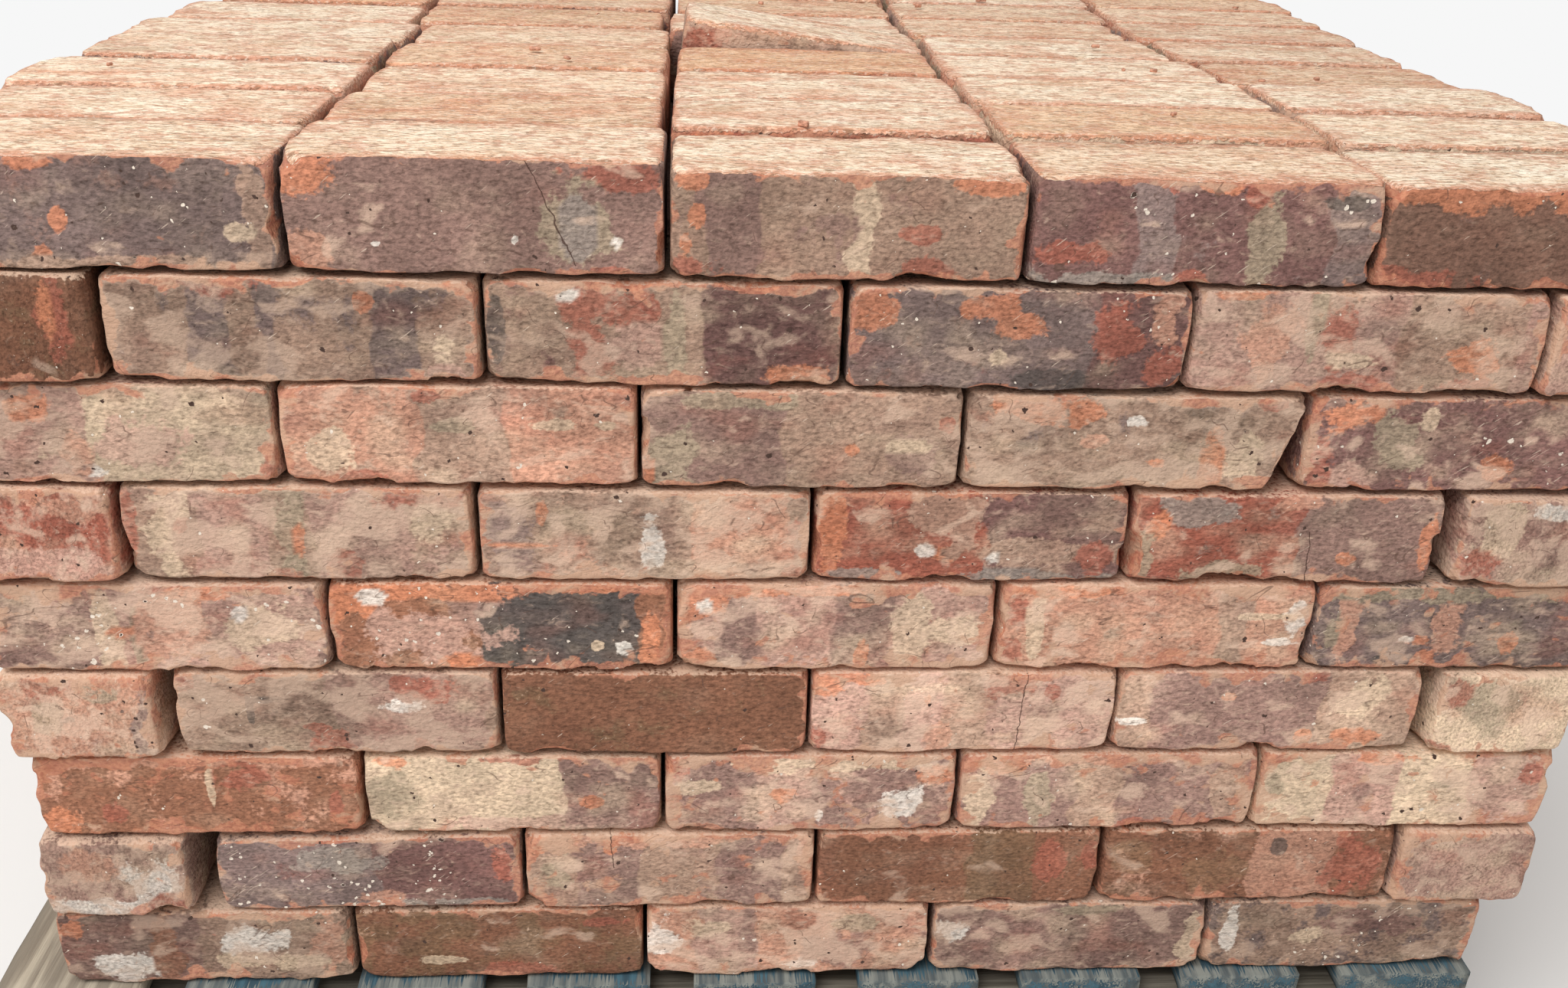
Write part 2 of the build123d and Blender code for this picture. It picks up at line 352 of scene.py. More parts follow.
                (ORANGE, 160, 22, 7, 5)),
            chips=chips((72, 2, 60, 8), (4, 20, 50, 8), (120, 2, 50, 5), (222, 30, 30, 4))),
        BrickLook(
            PINK, CREAM, shade=0.8, film=0.5, flecks=0.5,
            patches=patches((CREAM, 30, 50, 12, 26), (RED, 18, 14, 16, 14), (LIME, 70, 64, 18, 6)),
            chips=chips((16, 8, 50, 6))),
    ),
    5: (
        BrickLook(
            MAUVE, PINK, shade=0.9, bands=((80, 226),), film=0.5, flecks=0.9, rim=0.8,
            patches=patches(
                (CREAM, 84, 36, 8, 40), (OLIVE, 106, 30, 7, 26), (SALMON, 130, 36, 24, 34),
                (CREAM, 185, 40, 24, 16), (RED, 118, 70, 14, 5), (ORANGE, 150, 66, 20, 6),
                (LIME, 174, 50, 6, 6), (ORANGE, 92, 34, 8, 4)),
            chips=chips((150, 71, 50, 4), (140, 2, 60, 4), (222, 10, 30, 5))),
        BrickLook(
            RUST, CHARCOAL, shade=1.05, bands=((106, 219),), mottle=0.0, film=0.15, flecks=0.7, rim=0.6,
            patches=patches(
                (PINK, 66, 30, 44, 24), (MAUVE, 104, 58, 22, 14), (ORANGE, 60, 68, 90, 9),
                (ORANGE, 12, 56, 18, 14), (ORANGE, 224, 26, 6, 26), (ORANGE, 170, 72, 70, 6),
                (CREAM, 186, 22, 5, 4), (LIME, 31, 62, 9, 6), (ORANGE, 90, 5, 14, 8),
                (LIME, 206, 20, 6, 5)),
            chips=chips((10, 64, 44, 4), (40, 2, 60, 4), (218, 10, 36, 5), (180, 2, 50, 3))),
        BrickLook(
            PINK, MAUVE, shade=1, bands=((30, 60), (110, 156)), film=0.45, flecks=0.3, rim=0.9,
            patches=patches(
                (ORANGE, 14, 58, 16, 18), (CREAM, 168, 36, 12, 40), (CREAM, 200, 34, 20, 12),
                (ORANGE, 134, 14, 5, 14), (ORANGE, 92, 68, 60, 6), (LIME, 20, 54, 5, 5),
                (ORANGE, 12, 10, 16, 8)),
            chips=chips((8, 8, 44, 6), (120, 2, 60, 3), (90, 72, 60, 3), (220, 8, 30, 5))),
        BrickLook(
            SALMON, TAN, shade=1, bands=((160, 182),), film=0.35, flecks=0.15, rim=0.8,
            patches=patches(
                (RED, 14, 50, 9, 13), (RED, 8, 18, 10, 11), (LIME, 220, 50, 8, 15),
                (LIME, 208, 24, 14, 3), (CREAM, 26, 40, 6, 26), (ORANGE, 50, 67, 40, 5),
                (CREAM, 200, 46, 22, 3)),
            chips=chips((10, 40, 26, 4), (60, 2, 60, 5), (180, 2, 50, 5), (222, 16, 34, 5))),
        BrickLook(
            GREY_MAUVE, CHARCOAL, shade=0.8, film=0.35, flecks=0.6, rim=0.9,
            patches=patches(
                (SALMON, 24, 34, 10, 42), (OLIVE, 12, 34, 7, 18), (SALMON, 103, 38, 10, 32),
                (ORANGE, 88, 7, 13, 9), (OLIVE, 80, 67, 90, 7), (ORANGE, 72, 26, 13, 5),
                (LIME, 70, 29, 7, 3), (ORANGE, 150, 24, 6, 8)),
            chips=chips((8, 60, 30, 4), (14, 4, 44, 5), (120, 2, 50, 3))),
    ),
    4: (
        BrickLook(
            SALMON, PINK, shade=0.95, film=0.6, flecks=0.3, rim=0.8,
            patches=patches(
                (OLIVE, 36, 40, 16, 18), (CHARCOAL, 48, 36, 5, 4), (GREY_MAUVE, 102, 30, 9, 36),
                (OLIVE, 74, 58, 12, 8), (CHARCOAL, 86, 44, 3, 3), (RED, 34, 64, 20, 9)),
            chips=chips((6, 30, 40, 6), (60, 2, 60, 4), (104, 8, 30, 6))),
        BrickLook(
            TAN, PINK, shade=0.7, bands=((110, 226),), film=0.5, flecks=0.35, rim=0.4,
            patches=patches(
                (CHARCOAL, 52, 42, 3, 16), (CHARCOAL, 62, 50, 13, 3), (RED, 110, 12, 14, 13),
                (RED, 182, 62, 22, 11), (LIME, 157, 44, 15, 6), (RED, 174, 6, 8, 8),
                (RED, 100, 26, 9, 4), (RED, 4, 66, 9, 8)),
            chips=chips((174, 4, 26, 5), (110, 3, 40, 5), (40, 2, 30, 3), (220, 10, 34, 5))),
        BrickLook(
            RUST, KHAKI, shade=0.75, mottle=0.3, film=0.0, flecks=0.05, rim=0.2,
            patches=patches((RUST, 6, 24, 14, 14), (RUST, 180, 18, 30, 12), (RUST, 160, 64, 10, 8)),
            chips=chips((216, 8, 36, 5), (180, 2, 40, 3))),
        BrickLook(
            PINK, TAN, shade=1.15, bands=((40, 70), (100, 130)), film=0.5, flecks=0.4, rim=0.9,
            crack=Crack((160, 74), (156, 2)),
            patches=patches(
                (ORANGE, 10, 62, 12, 12), (ORANGE, 38, 68, 12, 6), (RED, 146, 63, 17, 11),
                (SALMON, 94, 14, 11, 16), (ORANGE, 87, 48, 4, 8), (RED, 6, 12, 8, 12),
                (RED, 180, 58, 6, 7)),
            chips=chips((40, 71, 60, 3), (146, 71, 50, 4), (6, 6, 26, 4))),
        BrickLook(
            MAUVE, TAN, shade=1.2, bands=((-10, 26), (157, 230)), mottle=0.15, film=0.35, flecks=0.35,
            rim=0.5,
            patches=patches(
                (RED, 152, 68, 9, 7), (ORANGE, 190, 14, 20, 8), (ORANGE, 148, 14, 6, 5),
                (LIME, 12, 28, 12, 3), (ORANGE, 84, 50, 5, 3), (CREAM, 184, 48, 16, 22)),
            chips=chips((112, 2, 44, 6), (216, 70, 40, 4), (222, 6, 30, 5))),
        BrickLook(
            CREAM, TAN, shade=1.15, film=0.45, flecks=0.3, rim=0.5,
            patches=patches((OLIVE, 36, 40, 20, 22), (RED, 12, 58, 10, 12), (RED, 10, 6, 14, 6)),
            chips=chips((14, 6, 36, 5), (100, 8, 30, 5))),
    ),
    3: (
        BrickLook(
            RUST, SALMON, shade=1.0, mottle=0.35, film=0.05, flecks=0.1, rim=1.0,
            patches=patches(
                (SALMON, 110, 69, 120, 7), (RED, 150, 54, 16, 12), (RED, 58, 22, 10, 12),
                (CREAM, 128, 40, 3, 26), (RED, 218, 30, 5, 12), (ORANGE, 12, 12, 16, 14)),
            chips=chips((60, 72, 50, 2), (222, 8, 24, 5))),
        BrickLook(
            CREAM, MAUVE, shade=1.0, bands=((146, 226),), mottle=0.1, film=0.35, flecks=0.3, rim=0.7,
            patches=patches(
                (OLIVE, 14, 36, 20, 20), (PINK, 110, 8, 50, 8), (ORANGE, 20, 68, 16, 4),
                (ORANGE, 166, 30, 10, 5), (RED, 110, 70, 20, 4)),
            chips=chips((8, 6, 54, 7), (120, 2, 60, 4), (222, 8, 26, 4))),
        BrickLook(
            MAUVE, PINK, shade=1.05, bands=((70, 110),), film=0.4, flecks=0.6, rim=0.9,
            patches=patches(
                (RED, 9, 60, 10, 11), (CREAM, 88, 64, 14, 9), (ORANGE, 92, 34, 10, 7),
                (LIME, 182, 28, 15, 14), (ORANGE, 208, 56, 18, 8), (CREAM, 26, 44, 16, 7),
                (CREAM, 130, 66, 70, 6), (LIME, 118, 16, 3, 5)),
            chips=chips((8, 66, 30, 4), (208, 70, 44, 4), (90, 72, 40, 3), (20, 2, 40, 5))),
        BrickLook(
            MAUVE, TAN, shade=1.2, bands=((90, 128), (198, 226)), mottle=0.1, film=0.35, flecks=0.3,
            rim=0.9,
            patches=patches(
                (ORANGE, 30, 64, 24, 9), (CREAM, 14, 30, 12, 26), (SALMON, 110, 68, 60, 5),
                (RED, 150, 4, 22, 6), (OLIVE, 60, 30, 10, 24), (RED, 206, 5, 16, 6)),
            chips=chips((150, 2, 60, 5), (206, 3, 50, 6), (30, 72, 40, 3))),
        BrickLook(
            CREAM, PINK, shade=1.1, bands=((57, 112), (168, 226)), mottle=0.1, film=0.4, flecks=0.45,
            rim=0.9,
            patches=patches(
                (ORANGE, 96, 68, 28, 6), (RED, 217, 54, 10, 10), (OLIVE, 14, 40, 8, 12),
                (MAUVE, 84, 36, 8, 8), (OLIVE, 146, 42, 13, 3), (RED, 12, 68, 10, 5)),
            chips=chips((96, 71, 50, 4), (60, 2, 60, 3), (222, 50, 24, 4))),
    ),
    2: (
        BrickLook(
            PINK, CREAM, shade=0.7, film=0.5, flecks=0.4, rim=0.4,
            patches=patches(
                (LIME, 80, 32, 18, 22), (LIME, 40, 8, 40, 9), (RED, 94, 8, 16, 14),
                (SALMON, 30, 50, 24, 14)),
            chips=chips((92, 6, 44, 10), (6, 10, 30, 5))),
        BrickLook(
            GREY_MAUVE, MAROON, shade=0.95, bands=((120, 226),), film=0.2, flecks=1.0, rim=0.3,
            lean=5.0,
            patches=patches(
                (RED, 214, 44, 8, 14), (STONE, 90, 50, 26, 12), (SALMON, 118, 12, 14, 8),
                (STONE, 190, 6, 40, 5)),
            chips=chips((120, 2, 60, 3), (6, 10, 24, 4))),
        BrickLook(
            TAN, MAUVE, shade=0.95, bands=((40, 90), (150, 200)), film=0.4, flecks=0.25, rim=0.9,
            crack=Crack((66, 74), (68, 44)),
            patches=patches(
                (SALMON, 90, 68, 110, 7), (ORANGE, 66, 60, 7, 9), (OLIVE, 22, 36, 14, 16),
                (ORANGE, 8, 64, 12, 12), (SALMON, 218, 50, 8, 20)),
            chips=chips((90, 72, 120, 3), (10, 4, 50, 7), (204, 70, 50, 4))),
        BrickLook(
            RUST, KHAKI, shade=0.8, bands=((120, 170),), mottle=0.2, film=0.15, flecks=0.1, rim=0.4,
            patches=patches((RED, 190, 42, 18, 20), (RED, 216, 50, 8, 16)),
            chips=chips((216, 56, 40, 4), (60, 2, 60, 3))),
        BrickLook(
            RUST, SALMON, shade=0.75, bands=((120, 190),), mottle=0.3, film=0.15, flecks=0.2, rim=0.6,
            patches=patches(
                (KHAKI, 88, 34, 26, 18), (RED, 200, 36, 20, 30), (KHAKI, 24, 50, 18, 14),
                (CHARCOAL, 140, 58, 6, 8)),
            chips=chips((8, 14, 44, 7), (200, 3, 40, 4))),
        BrickLook(PINK, TAN, shade=0.8, film=0.45, flecks=0.3, chips=chips((100, 10, 30, 4))),
    ),
    1: (
        BrickLook(
            TAN, MAUVE, shade=0.6, bands=((-10, 110),), film=0.4, flecks=0.6, rim=0.6,
            patches=patches(
                (LIME, 44, 16, 24, 18), (LIME, 150, 42, 22, 14), (ORANGE, 12, 56, 12, 10),
                (SALMON, 206, 40, 16, 26), (CREAM, 160, 22, 40, 8), (RUST, 82, 34, 12, 30)),
            chips=chips((4, 10, 40, 7), (120, 2, 80, 4), (220, 30, 34, 4))),
        BrickLook(
            RUST, KHAKI, shade=0.75, mottle=0.5, film=0.15, flecks=0.2, rim=0.3,
            patches=patches((RED, 130, 10, 30, 9), (CREAM, 70, 20, 20, 4), (RED, 200, 60, 20, 6)),
            chips=chips((40, 70, 40, 4), (220, 8, 30, 4), (150, 2, 60, 4))),
        BrickLook(
            SALMON, PINK, shade=0.9, bands=((40, 86),), film=0.5, flecks=0.4, rim=0.6,
            patches=patches(
                (LIME, 12, 38, 14, 20), (MAUVE, 158, 26, 28, 16), (MAUVE, 82, 50, 7, 20),
                (LIME, 118, 12, 20, 4), (OLIVE, 168, 56, 16, 8), (CREAM, 46, 52, 16, 8),
                (RED, 24, 4, 20, 6)),
            chips=chips((6, 12, 50, 9), (110, 2, 80, 5), (214, 4, 50, 7))),
        BrickLook(
            PINK, MAUVE, shade=0.75, mottle=0.7, film=0.4, flecks=0.5, rim=0.4,
            patches=patches((LIME, 16, 48, 14, 12), (CREAM, 214, 30, 10, 26), (OLIVE, 120, 66, 26, 6)),
            chips=chips((218, 10, 40, 6), (100, 2, 60, 3))),
        BrickLook(
            GREY_MAUVE, TAN, shade=0.65, mottle=0.6, film=0.3, flecks=0.8, rim=0.3,
            patches=patches((LIME, 20, 44, 6, 24), (CREAM, 86, 36, 12, 8), (MAROON, 140, 50, 40, 12)),
            chips=chips((10, 10, 44, 6), (210, 10, 40, 7))),
    ),
}


def linear(colour: Enum | str) -> tuple[float, float, float, float]:
    """Turns an sRGB hex colour into linear light.

    Args:
        colour: Six hex digits, or a named colour of six hex digits.

    Returns:
        Red, green, blue and an alpha of 1, each from 0 to 1.
    """
    digits = colour.value if isinstance(colour, Enum) else colour
    parts = [int(digits[i:i + 2], 16) / 255 for i in (0, 2, 4)]
    light = [p / 12.92 if p <= 0.04045 else ((p + 0.055) / 1.055) ** 2.4 for p in parts]
    return (*light, 1.0)


def blended(tone: np.ndarray, colour: Enum, share: np.ndarray) -> np.ndarray:
    """Mixes a share of a named colour into linear colours."""
    return tone + share[..., None] * (np.array(linear(colour)[:3]) - tone)


def value_noise(points: np.ndarray, seed: int) -> np.ndarray:
    """Smooth noise from -1 to 1.

    Every whole point of a grid has a hashed number, and between them the eight nearest are blended
    with the weight f * f * (3 - 2 f) along each axis, f being the part past the whole number.

    Args:
        points: Places, with x, y and z in the last axis.
        seed: Picks one noise out of many.

    Returns:
        One number for each place.
    """
    cell = np.floor(points).astype(np.int64)
    part = points - cell
    ease = part * part * (3 - 2 * part)
    total = np.zeros(points.shape[:-1])
    for corner in np.ndindex(2, 2, 2):
        at = cell + np.array(corner)
        key = (at[..., 0] * 73856093) ^ (at[..., 1] * 19349663) ^ (at[..., 2] * 83492791) ^ (seed * 49979687)
        key = (key ^ (key >> 13)) * 1274126177
        value = ((key ^ (key >> 16)) & 0xFFFF) / 32767.5 - 1
        total += np.prod(np.where(corner, ease, 1 - ease), axis=-1) * value
    return total


def rough_noise(points: np.ndarray, seed: int, octaves: int = 3) -> np.ndarray:
    """Value noise added to itself, each time twice as fine and half as strong.

    Args:
        points: Places, with x, y and z in the last axis.
        seed: Picks one noise out of many.
        octaves: How many layers are added.

    Returns:
        One number for each place, mostly from -1 to 1.
    """
    layers = [value_noise(points * 2 ** n, seed + n) * 0.5 ** n for n in range(octaves)]
    return sum(layers) / sum(0.5 ** n for n in range(octaves))


def smooth_step(low: float, high: float, value: np.ndarray) -> np.ndarray:
    """Rises from 0 at low to 1 at high as 3 t^2 - 2 t^3."""
    t = np.clip((value - low) / (high - low), 0, 1)
    return t * t * (3 - 2 * t)


def crowded(count: int) -> np.ndarray:
    """Stations from -1 to 1, closer at both ends: 0.6 s + 0.4 sin(s pi / 2), with s evenly spaced."""
    even = np.linspace(-1, 1, count + 1)
    return 0.6 * even + 0.4 * np.sin(even * math.pi / 2)


@dataclass(frozen=True)
class Lattice:
    """A closed box of quads on the cube from -1 to 1.

    Attributes:
        points: Vertices, one row each.
        quads: Four vertex numbers a row, seen anticlockwise from outside.
    """

    points: np.ndarray
    quads: np.ndarray

    @staticmethod
    def of(counts: tuple[int, int, int]) -> "Lattice":
        """Makes a box with that many quads along x, y and z.

        The surface points of a solid grid are numbered, and each of its six outer sheets gives
        quads of four neighbours. Three sheets are turned over so that all face out.
        """
        stations = [crowded(n) for n in counts]
        grid = np.meshgrid(*(np.arange(n + 1) for n in counts), indexing="ij")
        outside = np.zeros(grid[0].shape, bool)
        for places, count in zip(grid, counts):
            outside |= (places == 0) | (places == count)
        number = np.full(outside.shape, -1)
        number[outside] = np.arange(outside.sum())
        points = np.stack([line[places[outside]] for line, places in zip(stations, grid)], axis=-1)
        sheets = ((number[0], True), (number[-1], False), (number[:, 0], False),
                  (number[:, -1], True), (number[:, :, 0], True), (number[:, :, -1], False))
        quads = []
        for sheet, turned in sheets:
            corners = (sheet[:-1, :-1], sheet[1:, :-1], sheet[1:, 1:], sheet[:-1, 1:])
            quad = np.stack(corners, axis=-1).reshape(-1, 4)
            quads.append(quad[:, ::-1] if turned else quad)
        return Lattice(points, np.concatenate(quads))


def loose_parts(mesh: bpy.types.Mesh) -> tuple[np.ndarray, np.ndarray]:
    """Finds the separate solids of a mesh.

    Equal corners are merged, and every corner takes the lowest number among the corners that it
    shares a triangle with, over and over, until each solid has one number.

    Args:
        mesh: The mesh of a CAD node.

    Returns:
        Its merged corners in mm, and the number of the solid that each belongs to.
    """
    corners = np.empty(len(mesh.vertices) * 3)
    mesh.vertices.foreach_get("co", corners)
    mesh.calc_loop_triangles()
    triangles = np.empty(len(mesh.loop_triangles) * 3, np.int64)
    mesh.loop_triangles.foreach_get("vertices", triangles)
    corners = corners.reshape(-1, 3) / MM
    merged, number = np.unique(np.round(corners, 2), axis=0, return_inverse=True)
    triangles = number.reshape(-1)[triangles].reshape(-1, 3)
    label = np.arange(len(merged))
    while True:
        lowest = label[triangles].min(axis=1)
        spread = label.copy()
        np.minimum.at(spread, triangles.reshape(-1), np.repeat(lowest, 3))
        if np.array_equal(spread, label):
            return merged, label
        label = spread


@dataclass(frozen=True)
class Solids:
    """The boxes of one CAD node, in mm.

    Attributes:
        middle: Middle of each box.
        axes: Three rows for each box: its length, its width and its height direction.
        half: Half its length, width and height.
    """

    middle: np.ndarray
    axes: np.ndarray
    half: np.ndarray

    @staticmethod
    def of_node(name: str, row_depth: float = 60.0) -> "Solids":
        """Finds the box of each solid of a node whose solids lie square to the axes.

        Args:
            name: The CAD node.
            row_depth: Two bricks whose fronts are nearer than this lie in one row, in mm.

        Returns:
            Its boxes, from the left front to the right back.
        """
        corners, label = loose_parts(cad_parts[name].data)
        members = [corners[label == one] for one in np.unique(label)]
        low = np.array([member.min(axis=0) for member in members])
        high = np.array([member.max(axis=0) for member in members])
        order = np.lexsort((low[:, 0], np.round(low[:, 1] / row_depth)))
        low, high = low[order], high[order]
        half = (high - low) / 2
        across = half[:, 1] > half[:, 0]
        straight = np.eye(3)
        quarter = np.array([[0, 1, 0], [-1, 0, 0], [0, 0, 1]], float)
        axes = np.where(across[:, None, None], quarter, straight)
        half[across, 0], half[across, 1] = half[across, 1], half[across, 0].copy()
        return Solids((low + high) / 2, axes, half)

    @staticmethod
    def of_tipped_node(name: str) -> "Solids":
        """Finds the box of a node's one solid, along the axes in which its corners spread most."""
        corners, _ = loose_parts(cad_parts[name].data)
        middle = (corners.min(axis=0) + corners.max(axis=0)) / 2
        _, _, axes = np.linalg.svd(corners - corners.mean(axis=0))
        axes *= np.sign(axes[[0, 1, 2], [0, 1, 2]])[:, None]
        reach = (corners - middle) @ axes.T
        low, high = reach.min(axis=0), reach.max(axis=0)
        return Solids((middle + (low + high) / 2 @ axes)[None], axes[None], (high - low)[None] / 2)

    def closed(self, rows: np.ndarray, widest: float = 12.0, joint: float = 2.4,
               spread: float = 1.2) -> "Solids":
        """Brings the ends of neighbours in a row nearer, as worn bricks touch here and there.

        Args:
            rows: Numbers of the boxes from left to right.
            widest: Widest gap that is still a joint, in mm.
            joint: Gap that is left, half of the rest being taken up from each side, in mm.
            spread: How far it strays from joint to joint, in mm.

        Returns:
            The boxes in the same order, and the two outer ends where they were.
        """
        length = (np.abs(self.axes[rows, 0, 0]) < 0.5).astype(int)
        middle, half = self.middle.copy(), self.half.copy()
        low = middle[rows, 0] - half[rows, length]
        high = middle[rows, 0] + half[rows, length]
        gap = low[1:] - high[:-1]
        left = joint + spread * value_noise(middle[rows[1:]] / 50.0, 81)
        step = np.where(gap < widest, np.maximum(gap - left, 0) / 2, 0)
        low[1:] -= step
        high[:-1] += step
        middle[rows, 0] = (low + high) / 2
        half[rows, length] = (high - low) / 2
        return Solids(middle, self.axes, half)


def store(mesh: bpy.types.Mesh, key: str, kind: str, part: str, values: np.ndarray) -> None:
    """Stores values on the vertices of a mesh under a key, as an attribute of that kind."""
    data = mesh.attributes.new(key, kind, "POINT").data
    data.foreach_set(part, values.ravel().astype(np.float32))


def add_object(name: str, data: bpy.types.ID) -> bpy.types.Object:
    """Adds an object for a mesh, a lamp or a camera to the scene."""
    thing = bpy.data.objects.new(name, data)
    bpy.context.scene.collection.objects.link(thing)
    return thing


@dataclass
class Surface:
    """Vertices of a group of like pieces, and what their material reads.

    Attributes:
        points: Places in mm, one row of points for each piece.
        quads: The quads of one piece.
        numbers: Named numbers, one for each point.
        colours: Named linear colours, one for each point.
        place: Places along, across and up each piece, in mm.
    """

    points: np.ndarray
    quads: np.ndarray
    numbers: dict[str, np.ndarray]
    colours: dict[str, np.ndarray]
    place: np.ndarray

    def to_object(self, name: str, slot: str, material: bpy.types.Material, *nodes: str) -> bpy.types.Object:
        """Puts the pieces into one mesh that stands for the named CAD nodes.

        Args:
            name: Name of the new object.
            slot: The record's material slot; not used.
            material: What it is made of.
            *nodes: The CAD nodes that it stands for, none for crumbs.

        Returns:
            The new object.
        """
        count, size = self.points.shape[:2]
        quads = (self.quads[None] + np.arange(count)[:, None, None] * size).reshape(-1, 4)
        mesh = bpy.data.meshes.new(name)
        mesh.vertices.add(count * size)
        mesh.vertices.foreach_set("co", (self.points * MM).ravel().astype(np.float32))
        mesh.loops.add(len(quads) * 4)
        mesh.loops.foreach_set("vertex_index", quads.ravel().astype(np.int32))
        mesh.polygons.add(len(quads))
        mesh.polygons.foreach_set("loop_start", (np.arange(len(quads)) * 4).astype(np.int32))
        mesh.update(calc_edges=True)
        mesh.polygons.foreach_set("use_smooth", np.ones(len(quads), bool))
        for key, values in self.numbers.items():
            store(mesh, key, "FLOAT", "value", values)
        for key, values in self.colours.items():
            alpha = np.ones(values.shape[:-1] + (1,))
            store(mesh, key, "FLOAT_COLOR", "color", np.concatenate([values, alpha], axis=-1))
        store(mesh, "place", "FLOAT_VECTOR", "vector", self.place * MM)
        mesh.materials.append(material)
        mesh.validate()
        piece = add_object(name, mesh)
        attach(piece, "root")
        if nodes:
            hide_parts(*nodes)
        LOG.info("%s: %d pieces, %d triangles", name, count, len(quads) * 2)
        return piece


def add_node(tree: bpy.types.NodeTree, kind: str, inputs: dict | None = None, **settings) -> bpy.types.Node:
    """Adds one node to a tree.

    Args:
        tree: The tree.
        kind: Type name of the node.
        inputs: Values or sockets for its inputs, by name or number.
        **settings: Properties of the node.

    Returns:
        The node.
    """
    node = tree.nodes.new(kind)
    for key, value in settings.items():
        setattr(node, key, value)
    for key, value in (inputs or {}).items():
        if isinstance(value, Socket):
            tree.links.new(value, node.inputs[key])
        else:
            node.inputs[key].default_value = value
    return node


@dataclass(frozen=True)
class Wear:
    """How the weather and handling have shaped a box.

    Attributes:
        arris: Mean radius of its edges, in mm.
        bow: How far its faces wander from flat, in mm.
        ripple: Height of the finer waves on its faces, in mm.
        bow_length: Length of the slow waves, in mm, along, across and up.
        ripple_length: Length of the fine waves, in mm, along, across and up.
        corner: How much rounder the corners are, in arris radii.
        corner_reach: How far from a corner this fades to about a third, in mm.
        edge_reach: How far from an edge its wear fades to about a third, in mm.
        spared: How much less the two ends sink than the other faces, as a share.
    """

    arris: float
    bow: float
    ripple: float
    bow_length: tuple[float, float, float]
    ripple_length: tuple[float, float, float]
    corner: float = 0.0
    corner_reach: float = 14.0
    edge_reach: float = 8.0
    spared: float = 0.7

    def shape(self, lattice: Lattice, half: np.ndarray,
              shift: np.ndarray) -> tuple[np.ndarray, np.ndarray, np.ndarray]:
        """Rounds and warps one box for each row of half sizes.

        A lattice point q is pulled back to the box that is smaller by the arris radius r, giving c,
        and then put at c + r n, where n is the direction from c to q. The radius follows slow and
        fine noise along the edge, which leaves it ragged. The point then sinks along n by the bow
        and the ripple, and less at the two ends.

        Args:
            lattice: The box of quads.
            half: Half length, width and height of each piece.
            shift: Where each piece reads the noise.

        Returns:
            Points of each piece about its middle, how near an edge each is, from 0 to 1, and how
            far it faces up.
        """
        flat = lattice.points[None] * half[:, None]
        read = flat + shift[:, None]
        slow = rough_noise(read / np.array(self.bow_length), 11)
        ragged = 1.2 * value_noise(read / 34.0, 5) + 0.9 * value_noise(read / 9.0, 6)
        insets = np.sort(half[:, None] - np.abs(flat), axis=-1)
        corner = np.exp(-(insets[..., 1] + insets[..., 2]) / self.corner_reach)
        radius = self.arris * (np.clip(1 + ragged, 0.25, 3.2) + self.corner * corner)[..., None]
        core = np.clip(flat, radius - half[:, None], half[:, None] - radius)
        away = flat - core
        away = away / np.maximum(np.linalg.norm(away, axis=-1, keepdims=True), 1e-6)
        fine = rough_noise(read / np.array(self.ripple_length), 23)
        sink = self.bow * (0.5 + 0.5 * slow) + self.ripple * (0.5 + 0.5 * fine)
        sink = sink * (1 - self.spared * np.abs(away[..., 0]))
        points = core + away * (radius - sink[..., None])
        return points, np.exp(-insets[..., 1] / self.edge_reach), away[..., 2]


# Bricks of the lower courses, bricks of the top course, crumbs, and the boards and blocks.
HANDLED = Wear(3.2, bow=1.8, ripple=1.0, bow_length=(90, 60, 60), ripple_length=(22, 12, 10), corner=2.6)
WEATHERED = Wear(3.6, bow=1.5, ripple=1.2, bow_length=(90, 50, 60), ripple_length=(40, 9, 16), corner=2.2)
CRUMBLED = Wear(1.1, bow=1.0, ripple=0.6, bow_length=(5, 5, 5), ripple_length=(2, 2, 2), corner=0.5)
SAWN = Wear(1.6, bow=0.8, ripple=0.4, bow_length=(300, 60, 60), ripple_length=(60, 7, 7))


def scooped(points: np.ndarray, centre: np.ndarray, radius: np.ndarray,
            rough: np.ndarray) -> tuple[np.ndarray, np.ndarray]:
    """Breaks a scoop out of each piece: points inside a ball go to its surface, away from its centre.

    Args:
        points: Points of each piece.
        centre: Centre of the ball of each piece.
        radius: Its radius.
        rough: Roughness of the broken face at each point, in mm.

    Returns:
        The new points, and 1 where they are broken.
    """
    away = points - centre[:, None]
    length = np.linalg.norm(away, axis=-1)
    reach = radius[:, None] + rough
    inside = length < reach
    scale = np.where(inside, reach / np.maximum(length, 1e-6), 1.0)
    cut = smooth_step(0.0, 1.2, np.where(inside, reach - length, 0.0))
    return centre[:, None] + away * scale[..., None], cut


def ball_beside_edge(wide: np.ndarray, deep: np.ndarray) -> tuple[np.ndarray, np.ndarray]:
    """The ball that cuts w wide along an edge and d down both faces beside it.

    Its centre lies a outside both faces, with a = (w^2 / 4 - d^2) / 2d but at least a tenth of w,
    and its radius is sqrt(2 a^2 + w^2 / 4).

    Args:
        wide: Width along the edge.
        deep: Depth down the faces.

    Returns:
        How far the centre lies outside each face, and the radius.
    """
    beyond = np.maximum((wide ** 2 / 4 - deep ** 2) / (2 * deep), 0.1 * wide)
    return beyond, np.sqrt(2 * beyond ** 2 + wide ** 2 / 4)


